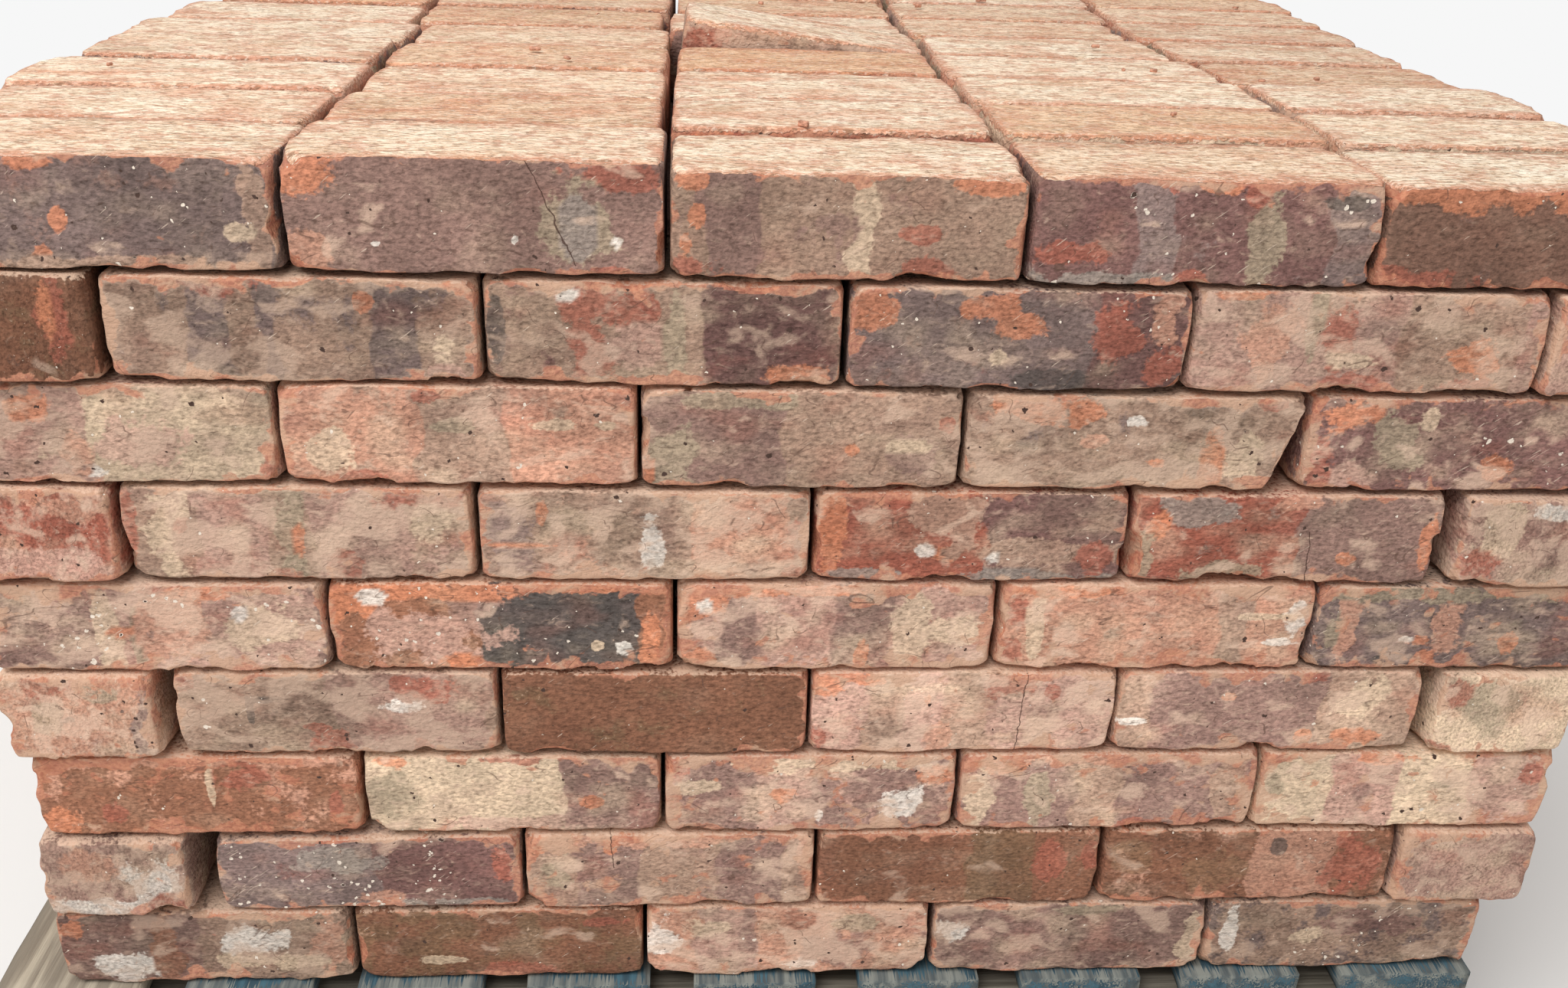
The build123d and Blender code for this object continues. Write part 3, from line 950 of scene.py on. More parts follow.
@dataclass
class Skin:
    """Points on the faces of a group of bricks, and what their material reads there.

    Attributes:
        looks: The look of each brick.
        place: Where each point reads the noise, in mm.
        across: Its distance from the left end of its brick, in mm.
        up: Its height over the lower edge, in mm.
        front: How far it belongs to the front face, from 0 to 1.
        upward: How far it faces up, from -1 to 1.
        edge: How near an edge it is, from 0 to 1.
        broken: How far it is broken away, from 0 to 1.
    """

    looks: list[BrickLook]
    place: np.ndarray
    across: np.ndarray
    up: np.ndarray
    front: np.ndarray
    upward: np.ndarray
    edge: np.ndarray
    broken: np.ndarray

    def trait(self, key: str) -> np.ndarray:
        """One number of each look, in a column."""
        return np.array([getattr(look, key) for look in self.looks])[:, None]

    def numbers(self, cover: np.ndarray, bleach_and_highlight: float) -> dict[str, np.ndarray]:
        """Numbers that the material reads, with ragged outlines where they are masks.

        Args:
            cover: How far a patch covers each point.
            bleach_and_highlight: How far the tops are sun-bleached and painted pale as highlight, from 0 to
                1.

        Returns:
            Each number by its name.
        """
        ragged = rough_noise(self.place / 16.0, 41)
        wavy = self.across + 9 * rough_noise(self.place / 26.0, 45)
        worn = np.clip(0.75 + 1.5 * rough_noise(self.place / 60.0, 43), 0, 1.3)
        torn = 0.5 * np.clip(cover * 4, 0, 1) * ragged
        numbers = {
            "blend": self.band_mask(wavy) + 0.5 * ragged,
            "cover": (cover + torn) * self.front,
            "edge": self.edge * worn + 0.3 * self.edge ** 0.3 * ragged,
            "broken": self.broken,
            "bleach_and_highlight": smooth_step(0.35, 0.85, self.upward) * bleach_and_highlight + 0.3 * ragged,
            "crack": self.crack_distance(),
        }
        for key in ("film", "flecks", "rim", "shade"):
            numbers[key] = self.trait(key) * np.ones_like(self.across)
        numbers["flecks"] *= smooth_step(-0.3, 0.5, rough_noise(self.place / 24.0, 53))
        return numbers

    def colours(self, patch_tone: np.ndarray) -> dict[str, np.ndarray]:
        """Linear colours that the material reads: of the patches, the body and its bands."""
        tones = {"patch": patch_tone}
        for key in ("main", "second"):
            clays = np.array([linear(getattr(look, key))[:3] for look in self.looks])
            tones[key] = clays[:, None] * np.ones_like(patch_tone)
        self.stain(tones, np.clip(0.15 + 1.7 * self.trait("film"), 0, 1))
        shade = self.trait("shade")[..., None]
        return {key: tone * (np.sqrt(shade) if key == "patch" else shade) for key, tone in tones.items()}

    def stain(self, tones: dict[str, np.ndarray], amount: np.ndarray) -> None:
        """Stains the clay red, olive, maroon and cream, and shades it from cloud to cloud.

        Each stain is mixed in by its own noise, less over a patch, and the sum is scaled by
        1 + (0.2 + 0.3 a) n, where n is a slower noise and a the amount.

        Args:
            tones: Linear colours at each point, which change.
            amount: How strong the stains are on each brick, from 0 to 1.
        """
        cloud = np.array([32.0, 24.0, 20.0])
        for clay, seed, most in ((RED, 61, 0.35), (OLIVE, 62, 0.3), (MAROON, 63, 0.35), (CREAM, 64, 0.5)):
            share = most * amount * smooth_step(0.08, 0.5, rough_noise(self.place / cloud, seed))
            for key, tone in tones.items():
                tones[key] = blended(tone, clay, (0.3 if key == "patch" else 1.0) * share)
        shade = 1 + (0.2 + 0.3 * amount) * rough_noise(self.place / 38.0, 65)
        for key, tone in tones.items():
            tones[key] = tone * shade[..., None]

    def bleached_and_highlit(self) -> np.ndarray:
        """Linear colour of an upper face: sun-bleached cream, paler than the clay as painted highlight, with
        darker clouds, going to orange along the edges.
        """
        tone = np.ones(self.place.shape) * linear(Trace.BLEACHED_HIGHLIT_CREAM)[:3]
        cloud = np.array([50.0, 20.0, 26.0])
        clouds = ((Trace.BLEACHED_PEACH, 71, 0.7), (Trace.BLEACHED_BROWN, 72, 0.5),
                  (Trace.BLEACHED_PINK, 73, 0.55), (Trace.BLEACHED_HIGHLIT_WHITE, 74, 0.6))
        for colour, seed, most in clouds:
            share = most * smooth_step(0.05, 0.5, rough_noise(self.place / cloud, seed, 4))
            tone = blended(tone, colour, share)
        rim = 0.65 * smooth_step(0.5, 1.0, self.edge + 0.7 * rough_noise(self.place / 30.0, 75))
        return blended(tone, Trace.BLEACHED_RIM, rim)

    def band_mask(self, wavy: np.ndarray, soft: float = 8.0) -> np.ndarray:
        """How far the second colour shows: its mottle everywhere, and 1 inside a band.

        Args:
            wavy: Distance from the left end, in mm, made wavy.
            soft: Half the width over which a band fades at its sides, in mm.

        Returns:
            A number from 0 to 1 at each point.
        """
        mask = self.trait("mottle") * np.ones_like(wavy)
        for look, across, front, row in zip(self.looks, wavy, self.front, mask):
            for low, high in look.bands:
                inside = smooth_step(low - soft, low + soft, across)
                inside = inside * smooth_step(high + soft, high - soft, across)
                row[:] = np.maximum(row, inside * front)
        return mask

    def crack_distance(self, spare: float = 6.0) -> np.ndarray:
        """Signed distance from the crack's line in mm, far from it or without one NO_CRACK.

        Args:
            spare: How far past its two ends the crack still fades out, in mm.

        Returns:
            The distance at each point.
        """
        distance = np.full(self.across.shape, NO_CRACK)
        for number, look in enumerate(self.looks):
            if not look.crack:
                continue
            start, end = np.array(look.crack.start), np.array(look.crack.end)
            length = np.linalg.norm(end - start)
            way = (end - start) / length
            gone = np.stack([self.across[number], self.up[number]], axis=-1) - start
            past = gone @ way
            inside = (past > -spare) & (past < length + spare)
            distance[number] = np.where(inside, gone @ np.array([-way[1], way[0]]), NO_CRACK)
        return distance

    def patch_cover(self) -> tuple[np.ndarray, np.ndarray]:
        """Cover and colour of the patches: 1 at the middle of an ellipse, a half on its edge, 0 far off."""
        cover = np.zeros_like(self.across)
        tone = np.full(self.across.shape + (3,), 0.3)
        for number, look in enumerate(self.looks):
            for patch in look.patches:
                aside = (self.across[number] - patch.across) / patch.wide
                above = (self.up[number] - patch.up) / patch.high
                share = np.clip(1 - np.hypot(aside, above) / 2, 0, 1)
                tone[number][share > np.minimum(cover[number], 0.4)] = linear(patch.colour)[:3]
                cover[number] = np.maximum(cover[number], share)
        return cover, tone


@dataclass
class BrickShaper:
    """Makes the bricks of a course.

    Attributes:
        lattice: The box of quads of each brick.
        wear: How the bricks are worn.
        draws: Random numbers.
        chips: How many random chips each brick has.
        slack: How much lower than its course a brick may be, in mm.
        near_edge: A chip this near to an edge breaks that edge too, in mm.
    """

    lattice: Lattice
    wear: Wear
    draws: np.random.Generator
    chips: int = 8
    slack: float = 2.0
    near_edge: float = 16.0

    def random_looks(self, count: int) -> list[BrickLook]:
        """Draws colours for bricks that the front doesn't show."""
        mains = (MAUVE, TAN, PINK, RUST, SALMON, GREY_MAUVE, CREAM, MAROON)
        seconds = (TAN, CREAM, MAUVE, RED, PINK, OLIVE, GREY_MAUVE)
        return [self.random_look(mains, seconds) for _ in range(count)]

    def random_look(self, mains: tuple[Clay, ...], seconds: tuple[Clay, ...]) -> BrickLook:
        """Draws one look.

        Args:
            mains: Colours that its body may have.
            seconds: Colours that its bands may have.

        Returns:
            The look.
        """
        uniform, integers = self.draws.uniform, self.draws.integers
        start = uniform(10, 180)
        bands = ((start, start + uniform(20, 60)),) if self.draws.random() < 0.5 else ()
        spots = [self.random_patch() for _ in range(5)]
        return BrickLook(
            mains[integers(len(mains))], seconds[integers(len(seconds))], bands, tuple(spots),
            mottle=uniform(0.2, 0.6), film=uniform(0.05, 0.4), flecks=uniform(0.1, 0.8),
            rim=uniform(0.2, 0.9))

    def random_patch(self) -> Patch:
        """Draws one patch anywhere on a brick's long face."""
        tones = (ORANGE, RED, OLIVE, CREAM, CHARCOAL, LIME)
        colour = tones[self.draws.integers(len(tones))]
        across, up = (self.draws.uniform(0, reach) for reach in STRETCHER)
        return Patch(colour, across, up, self.draws.uniform(4, 22), self.draws.uniform(4, 14))

    def shape(self, solids: Solids, looks: list[BrickLook], bleach_and_highlight: float) -> Surface:
        """Makes one worn brick in each solid.

        Args:
            solids: The boxes.
            looks: A look for each.
            bleach_and_highlight: How far their tops are sun-bleached and painted pale as highlight, from 0 to
                1.

        Returns:
            Their surface.
        """
        shift = self.draws.uniform(0, NOISE_REACH, (len(looks), 3))
        points, edge, upward = self.wear.shape(self.lattice, solids.half, shift)
        rough = 1.3 * rough_noise((points + shift[:, None]) / 7.0, 3, 2)
        broken = np.zeros(points.shape[:2])
        for _ in range(self.chips):
            points, cut = scooped(points, *self.random_ball(solids.half), rough)
            broken = np.maximum(broken, cut)
        place = points + shift[:, None]
        rise = points[..., 2] / (2 * solids.half[:, None, 2]) + 0.5
        points = np.einsum("npi,nij->npj", points, solids.axes)
        size = np.abs(np.einsum("nij,ni->nj", solids.axes, solids.half))
        across = points[..., 0] + size[:, None, 0]
        up = points[..., 2] + size[:, None, 2]
        points[..., 2] -= rise * self.settle(looks, across / (2 * size[:, None, 0]))
        for look, *brick in zip(looks, size, points, broken, up, rough):
            self.break_front(look, *brick)
        front = smooth_step(14.0, 4.0, points[..., 1] + size[:, None, 1])
        skin = Skin(looks, place, across, up, front, upward, edge, broken)
        cover, patch_tone = skin.patch_cover()
        colours = skin.colours(patch_tone)
        # The top course's pale top tone: sun bleach and painted highlight in one.
        if bleach_and_highlight == 1:
            tan = self.draws.uniform(0, 1, (len(looks), 1, 1)) ** 2
            colours["highlit_bleach_tone"] = skin.bleached_and_highlit() * (1 - tan * np.array([0.2, 0.38, 0.5]))
        points = points + solids.middle[:, None]
        return Surface(points, self.lattice.quads, skin.numbers(cover, bleach_and_highlight), colours, place)

    def break_front(self, look: BrickLook, half: np.ndarray, points: np.ndarray, broken: np.ndarray,
                    up: np.ndarray, rough: np.ndarray) -> None:
        """Breaks the chips of its look out of one brick, and its right end where the look says so.

        Args:
            look: The look.
            half: Half the brick's size across, in depth and in height.
            points: Its points, which change.
            broken: How far each is broken away, which changes.
            up: Height of each over the lower edge, in mm.
            rough: Roughness of small chips at each, in mm.
        """
        for chip in look.chips:
            moved, cut = scooped(points[None], *self.chip_ball(half, chip), 2.2 * rough[None])
            points[:] = moved[0]
            broken[:] = np.maximum(broken, cut[0])
        if look.break_slant:
            self.break_end(points, broken, up, half, look.break_slant)

    @staticmethod
    def break_end(points: np.ndarray, broken: np.ndarray, up: np.ndarray, half: np.ndarray,
                  slant: float) -> None:
        """Breaks the right end of one brick off along a rough slanting face.

        Args:
            points: The brick's points, which change.
            broken: How far each is broken away, which changes.
            up: Height of each over the lower edge, in mm.
            half: Half the brick's size across, in depth and in height.
            slant: How far the foot of the broken end stands back, in mm.
        """
        end = half[0] - slant * (1 - up / (2 * half[2])) - 1.0
        end = end + 1.6 * rough_noise(points / 9.0, 31, 2)
        over = points[:, 0] > end
        points[:, 0] = np.minimum(points[:, 0], end)
        broken[over] = 0.3

    def settle(self, looks: list[BrickLook], along: np.ndarray) -> np.ndarray:
        """How much lower than its box each top lies, in mm.

        Args:
            looks: The looks of the bricks.
            along: Share of the way from the left end to the right.

        Returns:
            A random slack, a slight random tilt, and the lean of the look.
        """
        count = len(looks)
        lower = self.draws.uniform(0.2, self.slack, count)[:, None]
        tilt = self.draws.uniform(0.0, 0.6 * self.slack, count)[:, None] * along
        lean = np.array([look.lean for look in looks])[:, None] * (1 - along)
        return lower + tilt + lean

    def chip_ball(self, half: np.ndarray, chip: Chip) -> tuple[np.ndarray, np.ndarray]:
        """Centre and radius of the ball that breaks a chip out of a front edge or corner.

        At a corner the centre lies b outside all three faces, and the radius sqrt((b + l)^2 + 2 b^2)
        cuts l back along each edge, with l a third of the chip's width and b one and a half l.
        Elsewhere the ball reaches twice as far back from the front as it does along the front.

        Args:
            half: Half the brick's size across, in depth and in height.
            chip: The chip.

        Returns:
            Centre about the middle of the brick, and radius.
        """
        spot = np.array([chip.across, 0.0, chip.up]) - half
        out = np.array([0.0, -1.0, 0.0])
        for axis in (0, 2):
            if half[axis] - abs(spot[axis]) < self.near_edge:
                out[axis] = np.sign(spot[axis])
                spot[axis] = out[axis] * half[axis]
        if np.abs(out).sum() > 2:
            back = chip.wide / 3
            return (spot + out * 1.5 * back)[None], np.array([math.sqrt(10.75) * back])
        along = min(1.3 * chip.deep, 0.25 * chip.wide)
        reach = np.array([along, min(2 * along, 0.42 * chip.wide), along])
        beyond = out * ball_beside_edge(chip.wide, reach)[0]
        return (spot + beyond)[None], np.array([math.sqrt(beyond @ beyond + chip.wide ** 2 / 4)])

    def random_ball(self, half: np.ndarray) -> tuple[np.ndarray, np.ndarray]:
        """Draws a ball for each brick that breaks a chip out of one of its edges.

        Args:
            half: Half length, width and height of each brick.

        Returns:
            Centres and radii.
        """
        count = len(half)
        along = np.where(self.draws.random(count) < 0.7, 0, self.draws.integers(1, 3, count))
        side = np.where(self.draws.random((count, 3)) < 0.5, -1.0, 1.0)
        wide = self.draws.uniform(8, 56, count)
        deep = 1.2 + 8.0 * self.draws.uniform(0, 1, count) ** 2
        beyond, radius = ball_beside_edge(wide, np.minimum(deep, 0.22 * wide))
        on_edge = half * side
        rows = np.arange(count)
        on_edge[rows, along] *= self.draws.uniform(0, 1, count)
        out = side.copy()
        out[rows, along] = 0
        return on_edge + out * beyond[:, None], radius


@dataclass
class Graph:
    """Node tree of one material, with the few steps that the materials share.

    Attributes:
        tree: The node tree.
        place: Where on its piece the shaded point lies, in metres.
    """

    tree: bpy.types.NodeTree
    place: Socket

    @staticmethod
    def of(material: bpy.types.Material, dressed: bool = True) -> "Graph":
        """Starts on a material, whose pieces carry the place attribute if they are dressed."""
        material.use_nodes = True
        tree = material.node_tree
        if dressed:
            place = add_node(tree, "ShaderNodeAttribute", attribute_name="place").outputs["Vector"]
        else:
            place = add_node(tree, "ShaderNodeTexCoord").outputs["Object"]
        return Graph(tree, place)

    def noise(self, size: float, detail: float = 3.0, stretch: tuple[float, float, float] = (1, 1, 1),
              warp: float = 0.0, turn: float = 0.0) -> Socket:
        """Noise from 0 to 1.

        Args:
            size: Size of its features, in mm.
            detail: Layers of finer noise.
            stretch: How much longer they are along the piece, across it and up.
            warp: How far the noise is bent by itself.
            turn: Angle in degrees that tilts the stretched features on the front face.

        Returns:
            The noise.
        """
        place = self.place
        if turn:
            inputs = {"Vector": place, "Angle": math.radians(turn)}
            place = add_node(self.tree, "ShaderNodeVectorRotate", inputs, rotation_type="Y_AXIS").outputs[0]
        inputs = {0: place, 1: tuple(1 / (longer * size * MM) for longer in stretch)}
        scaled = add_node(self.tree, "ShaderNodeVectorMath", inputs, operation="MULTIPLY").outputs[0]
        inputs = {"Vector": scaled, "Scale": 1.0, "Detail": detail, "Distortion": warp}
        return add_node(self.tree, "ShaderNodeTexNoise", inputs).outputs["Fac"]

    def number(self, key: str) -> Socket:
        """One number that the pieces carry."""
        return add_node(self.tree, "ShaderNodeAttribute", attribute_name=key).outputs["Fac"]

    def colour(self, key: str) -> Socket:
        """One colour that the pieces carry."""
        return add_node(self.tree, "ShaderNodeAttribute", attribute_name=key).outputs["Color"]

    def math(self, kind: str, *values: Socket | float) -> Socket:
        """One sum, product or other simple step."""
        return add_node(self.tree, "ShaderNodeMath", dict(enumerate(values)), operation=kind).outputs[0]

    def scaled_sum(self, value: Socket, scale: Socket | float, more: Socket | float) -> Socket:
        """The value times the scale, and more added."""
        return self.math("MULTIPLY_ADD", value, scale, more)

    def span(self, value: Socket, low: float, high: float, to_low: float = 0.0,
             to_high: float = 1.0) -> Socket:
        """Goes smoothly from to_low at low to to_high at high."""
        inputs = {"Value": value, "From Min": low, "From Max": high, "To Min": to_low, "To Max": to_high}
        return add_node(self.tree, "ShaderNodeMapRange", inputs, interpolation_type="SMOOTHSTEP").outputs[0]

    def mix(self, share: Socket | float, first: Socket | Enum | str, second: Socket | Enum | str,
            kind: str = "MIX") -> Socket:
        """Mixes a share of the second colour into the first."""
        tones = [linear(tone) if isinstance(tone, (Enum, str)) else tone for tone in (first, second)]
        inputs = {0: share, 6: tones[0], 7: tones[1]}
        return add_node(self.tree, "ShaderNodeMix", inputs, data_type="RGBA", blend_type=kind).outputs[2]

    def lay(self, body: Socket | str, tone: Socket | Enum | str, value: Socket, low: float, high: float,
            most: float = 1.0) -> Socket:
        """Lays a tone over the body: none of it where the value is low, and most where it is high."""
        return self.mix(self.span(value, low, high, 0.0, most), body, tone)

    def shaded(self, colour: Socket | Enum, share: Socket, low: tuple[float, float, float],
               high: tuple[float, float, float]) -> Socket:
        """Multiplies a colour by low where the share is 0 and by high where it is 1."""
        return self.mix(1.0, colour, self.mix(share, (*low, 1), (*high, 1)), "MULTIPLY")

    def finish(self, colour: Socket, height: Socket, roughness: float) -> None:
        """Gives the shader its colour, and a relief whose height is in mm."""
        shader = self.tree.nodes["Principled BSDF"]
        bump = add_node(self.tree, "ShaderNodeBump", {"Height": height, "Strength": 1.0, "Distance": MM})
        self.tree.links.new(colour, shader.inputs["Base Color"])
        self.tree.links.new(bump.outputs["Normal"], shader.inputs["Normal"])
        shader.inputs["Roughness"].default_value = roughness
        shader.inputs["Specular IOR Level"].default_value = 0.2


@dataclass
class Grit:
    """The fine noises that the steps of the clay share, each from 0 to 1.

    Attributes:
        fine: Unevenness of a few millimetres.
        grain: Grains of sand, drawn coarser than they are, because finer ones wouldn't show.
        wisps: Thin wisps along the brick.
    """

    fine: Socket
    grain: Socket
    wisps: Socket

    @staticmethod
    def of(graph: Graph) -> "Grit":
        """Adds the noises to a material."""
        return Grit(
            fine=graph.noise(3.2, 3),
            grain=graph.noise(2.1, 3, (2.0, 1, 1), 0.4),
            wisps=graph.noise(5.5, 4, (1.9, 1, 1), 0.6))


@dataclass(frozen=True)
class FiredClay:
    """Old brick of hand-pressed clay, fired in a clamp with coal.

    Uneven heat leaves mauve, red and tan in ragged patches on one face, and the bricks that touched
    it leave upright bands. Knocks show the orange clay under the skin, old mortar and lime leave
    pale dust and flecks, and years in the open bleach the upper faces along the drag marks. The
    upward faces are also painted paler than the clay, as painted highlight of the light from above.

    Attributes:
        name: Name of the material.
        dressed: Whether its pieces carry the attributes of a dressed brick.
        bleached_and_highlit: Whether its upper faces are sun-bleached and painted pale as highlight.
        undressed: Colour of the pieces that carry no attributes.
        roughness: An unglazed fired face is dull all over.
    """

    name: str = "old_fired_clay"
    dressed: bool = True
    bleached_and_highlit: bool = False
    undressed: Clay = MAUVE
    roughness: float = 0.9

    def build(self) -> bpy.types.Material:
        """Builds the material."""
        material = bpy.data.materials.new(self.name)
        graph = Graph.of(material, self.dressed)
        grit = Grit.of(graph)
        relief = graph.scaled_sum(grit.wisps, 1.3, graph.math("MULTIPLY", grit.grain, 0.8))
        relief = graph.scaled_sum(grit.fine, 1.3, relief)
        if not self.dressed:
            graph.finish(self.sandy(graph, grit, self.undressed), relief, self.roughness)
            return material
        offset = graph.math("SUBTRACT", grit.fine, 0.5)
        blend = graph.scaled_sum(offset, 0.5, graph.number("blend"))
        body = graph.lay(graph.colour("main"), graph.colour("second"), blend, 0.4, 0.62)
        cover = graph.scaled_sum(offset, 0.45, graph.number("cover"))
        body = self.sandy(graph, grit, graph.lay(body, graph.colour("patch"), cover, 0.43, 0.56, 0.76))
        haze = graph.noise(22, 6, (1.5, 1, 1), 0.4)
        worn = graph.noise(13, 5, (1.3, 1, 1), 0.3)
        body = self.hazed(graph, grit, body, haze)
        body = self.broken(graph, grit, body, haze, worn)
        body = self.flecked(graph, body, offset, worn)
        body = self.scratched(graph, body, worn)
        # Upper faces of the top course take the cream top tone: sun bleach and painted highlight.
        if self.bleached_and_highlit:
            streaks = graph.noise(4.4, 6, (2.8, 1, 1), 1.0)
            threads = graph.noise(2.4, 4, (3.4, 1, 1), 0.5)
            top = graph.span(graph.scaled_sum(offset, 0.7, graph.number("bleach_and_highlight")), 0.4, 0.6)
            body = graph.mix(top, body, self.bleach_and_highlight(graph, grit, worn, streaks, threads))
            ridges = graph.scaled_sum(streaks, 2.6, graph.math("MULTIPLY", threads, -1.6))
            relief = graph.scaled_sum(ridges, top, relief)
        else:
            # Upward faces of the lower courses are paled: dust, and painted highlight of the light from
            # above.
            top = graph.scaled_sum(offset, 1.5, graph.number("bleach_and_highlight"))
            dust = graph.mix(0.2, Trace.DUST_AND_HIGHLIGHT_TOP, graph.colour("main"))
            body = graph.lay(body, dust, top, 0.32, 0.62, 0.7)
        graph.finish(body, relief, self.roughness)
        return material

    @staticmethod
    def sandy(graph: Graph, grit: Grit, body: Socket | Enum) -> Socket:
        """Shades the body from grain to grain of its sand, with dark pores."""
        body = graph.shaded(body, graph.span(grit.fine, 0.32, 0.68), (0.86, 0.86, 0.86), (1.12, 1.12, 1.12))
        body = graph.shaded(body, graph.span(grit.grain, 0.36, 0.64), (1.2, 1.2, 1.2), (0.82, 0.82, 0.82))
        return graph.shaded(body, graph.span(grit.grain, 0.6, 0.7), (1, 1, 1), (0.72, 0.68, 0.66))

    @staticmethod
    def hazed(graph: Graph, grit: Grit, body: Socket, haze: Socket) -> Socket:
        """Lays pale lime haze over the face, in islands with torn outlines and in thin wisps."""
        film = graph.number("film")
        lime = graph.shaded(Trace.HAZE, graph.number("shade"), (0.1, 0.1, 0.1), (1, 1, 1))
        body = graph.lay(body, lime, graph.scaled_sum(film, 0.35, haze), 0.67, 0.77, 0.55)
        return graph.lay(body, lime, graph.scaled_sum(film, 0.3, grit.wisps), 0.62, 0.95, 0.6)

    @staticmethod
    def broken(graph: Graph, grit: Grit, body: Socket, haze: Socket, worn: Socket) -> Socket:
        """Shows fresh clay, orange to terracotta or tan, in chips and in torn patches along the arrises."""
        film = graph.number("film")
        fresh = graph.mix(graph.span(grit.fine, 0.35, 0.65), Trace.FRESH_PALE, Trace.FRESH_DEEP)
        fresh = graph.lay(fresh, Trace.FRESH_TAN, graph.scaled_sum(film, 0.3, haze), 0.58, 0.66, 0.75)
        near = graph.scaled_sum(graph.number("edge"), 0.5, worn)
        dust = graph.mix(0.5, graph.colour("main"), Trace.DUSTY_ARRIS)
        body = graph.lay(body, dust, graph.scaled_sum(film, 0.3, near), 0.78, 0.94, 0.4)
        body = graph.lay(body, fresh, graph.scaled_sum(graph.number("rim"), 0.22, near), 0.84, 0.9, 0.7)
        return graph.lay(body, fresh, graph.scaled_sum(worn, 0.6, graph.number("broken")), 0.45, 0.7, 0.7)

    @staticmethod
    def flecked(graph: Graph, body: Socket, offset: Socket, worn: Socket) -> Socket:
        """Scatters flecks of lime and dark pits, of sizes that chance picks, with torn outlines."""
        cells = add_node(graph.tree, "ShaderNodeTexVoronoi", {"Vector": graph.place, "Scale": 1 / (7 * MM)})
        chance = add_node(graph.tree, "ShaderNodeSeparateColor", {"Color": cells.outputs["Color"]})
        away = graph.scaled_sum(graph.math("SUBTRACT", worn, 0.5), 0.9, cells.outputs["Distance"])
        away = graph.scaled_sum(offset, 0.9, away)
        size = graph.math("MULTIPLY", chance.outputs["Green"], graph.number("flecks"))
        size = graph.scaled_sum(size, 0.4, -0.1)
        body = graph.mix(graph.math("LESS_THAN", away, size), body, Trace.FLECK)
        sound = graph.math("LESS_THAN", chance.outputs["Red"], 0.86)
        hole = graph.math("SUBTRACT", graph.span(chance.outputs["Red"], 0.86, 1.0, 0.0, 0.14), sound)
        return graph.mix(graph.math("LESS_THAN", away, hole), body, Trace.PIT)

    @staticmethod
    def scratched(graph: Graph, body: Socket, worn: Socket) -> Socket:
        """Adds creases where the clay was folded into its mould, pale scratches and a crack."""
        folds = graph.noise(30, 1.5, (2.2, 1, 1), 1.0, 12)
        folds = graph.math("ABSOLUTE", graph.math("SUBTRACT", folds, 0.5))
        folded = graph.math("MULTIPLY", graph.span(folds, 0.006, 0.002), graph.span(worn, 0.5, 0.56, 0, 0.6))
        body = graph.mix(folded, body, Trace.FOLD)
        lines = graph.scaled_sum(graph.number("flecks"), 0.08, graph.noise(1.3, 1, (9, 1, 1), 0.3, 38))
        body = graph.lay(body, Trace.SCRATCH, lines, 0.74, 0.8, 0.55)
        crooked = graph.scaled_sum(graph.noise(9, 2), 6.0, graph.math("SUBTRACT", graph.number("crack"), 3.0))
        return graph.lay(body, Trace.CRACK, graph.math("ABSOLUTE", crooked), 0.55, 0.3, 0.85)

    @staticmethod
    def bleach_and_highlight(graph: Graph, grit: Grit, worn: Socket, streaks: Socket, threads: Socket) -> Socket:
        """Torn streaks along a bleached upper face, raw pink clay between them, and specks; the pale cream is
        partly painted highlight.
        """
        light = graph.span(streaks, 0.43, 0.57)
        tone = graph.shaded(graph.colour("highlit_bleach_tone"), light, (0.94, 0.87, 0.81), (1.24, 1.27, 1.31))
        raw = graph.scaled_sum(streaks, -0.6, graph.scaled_sum(graph.number("edge"), 0.3, worn))
        tone = graph.lay(tone, Trace.RAW_STREAK, raw, 0.25, 0.32, 0.55)
        tone = graph.lay(tone, Trace.DARK_STREAK, threads, 0.57, 0.61, 0.7)
        tone = graph.mix(0.1, tone, graph.colour("main"))
        tone = graph.lay(tone, Trace.PALE_SPECK, grit.grain, 0.44, 0.38, 0.35)
        return graph.lay(tone, Trace.DARK_SPECK, grit.grain, 0.58, 0.64, 0.5)


@dataclass(frozen=True)
class SawnWood:
    """Sawn pallet softwood left in the open: the soft wood has shrunk back and left the grain proud.

    Attributes:
        name: Name of the material.
        pale: Colour of the early wood.
        dark: Colour of the late wood and of the dirt in the grain.
        paint: Two colours of the paint, if any.
        cover: How much of the face the paint still covers, from 0 to 1.
        roughness: Weathered wood and old paint are both dull.
    """

    name: str
    pale: str
    dark: str
    paint: tuple[str, ...] = ()
    cover: float = 0.0
    roughness: float = 0.85

    def build(self) -> bpy.types.Material:
        """Builds the material."""
        material = bpy.data.materials.new(self.name)
        graph = Graph.of(material)
        rings = graph.noise(9, 4, (18, 1, 1), 0.3)
        fibres = graph.noise(1.6, 4, (30, 1, 1))
        wood = graph.lay(self.pale, self.dark, rings, 0.35, 0.65)
        wood = graph.lay(wood, self.dark, fibres, 0.55, 0.75, 0.7)
        if self.paint:
            flaked = graph.math("ADD", graph.noise(26, 5, (4, 1, 1)), fibres)
            keep = graph.math("SUBTRACT", flaked, graph.math("MULTIPLY", graph.number("edge"), 0.3))
            limit = 1.3 - 0.5 * self.cover
            tone = graph.lay(self.paint[0], self.paint[1], rings, 0.4, 0.7)
            wood = graph.lay(wood, tone, keep, limit - 0.06, limit + 0.06, 0.92)
        graph.finish(wood, graph.scaled_sum(rings, 1.5, graph.math("MULTIPLY", fibres, 0.8)), self.roughness)
        return material


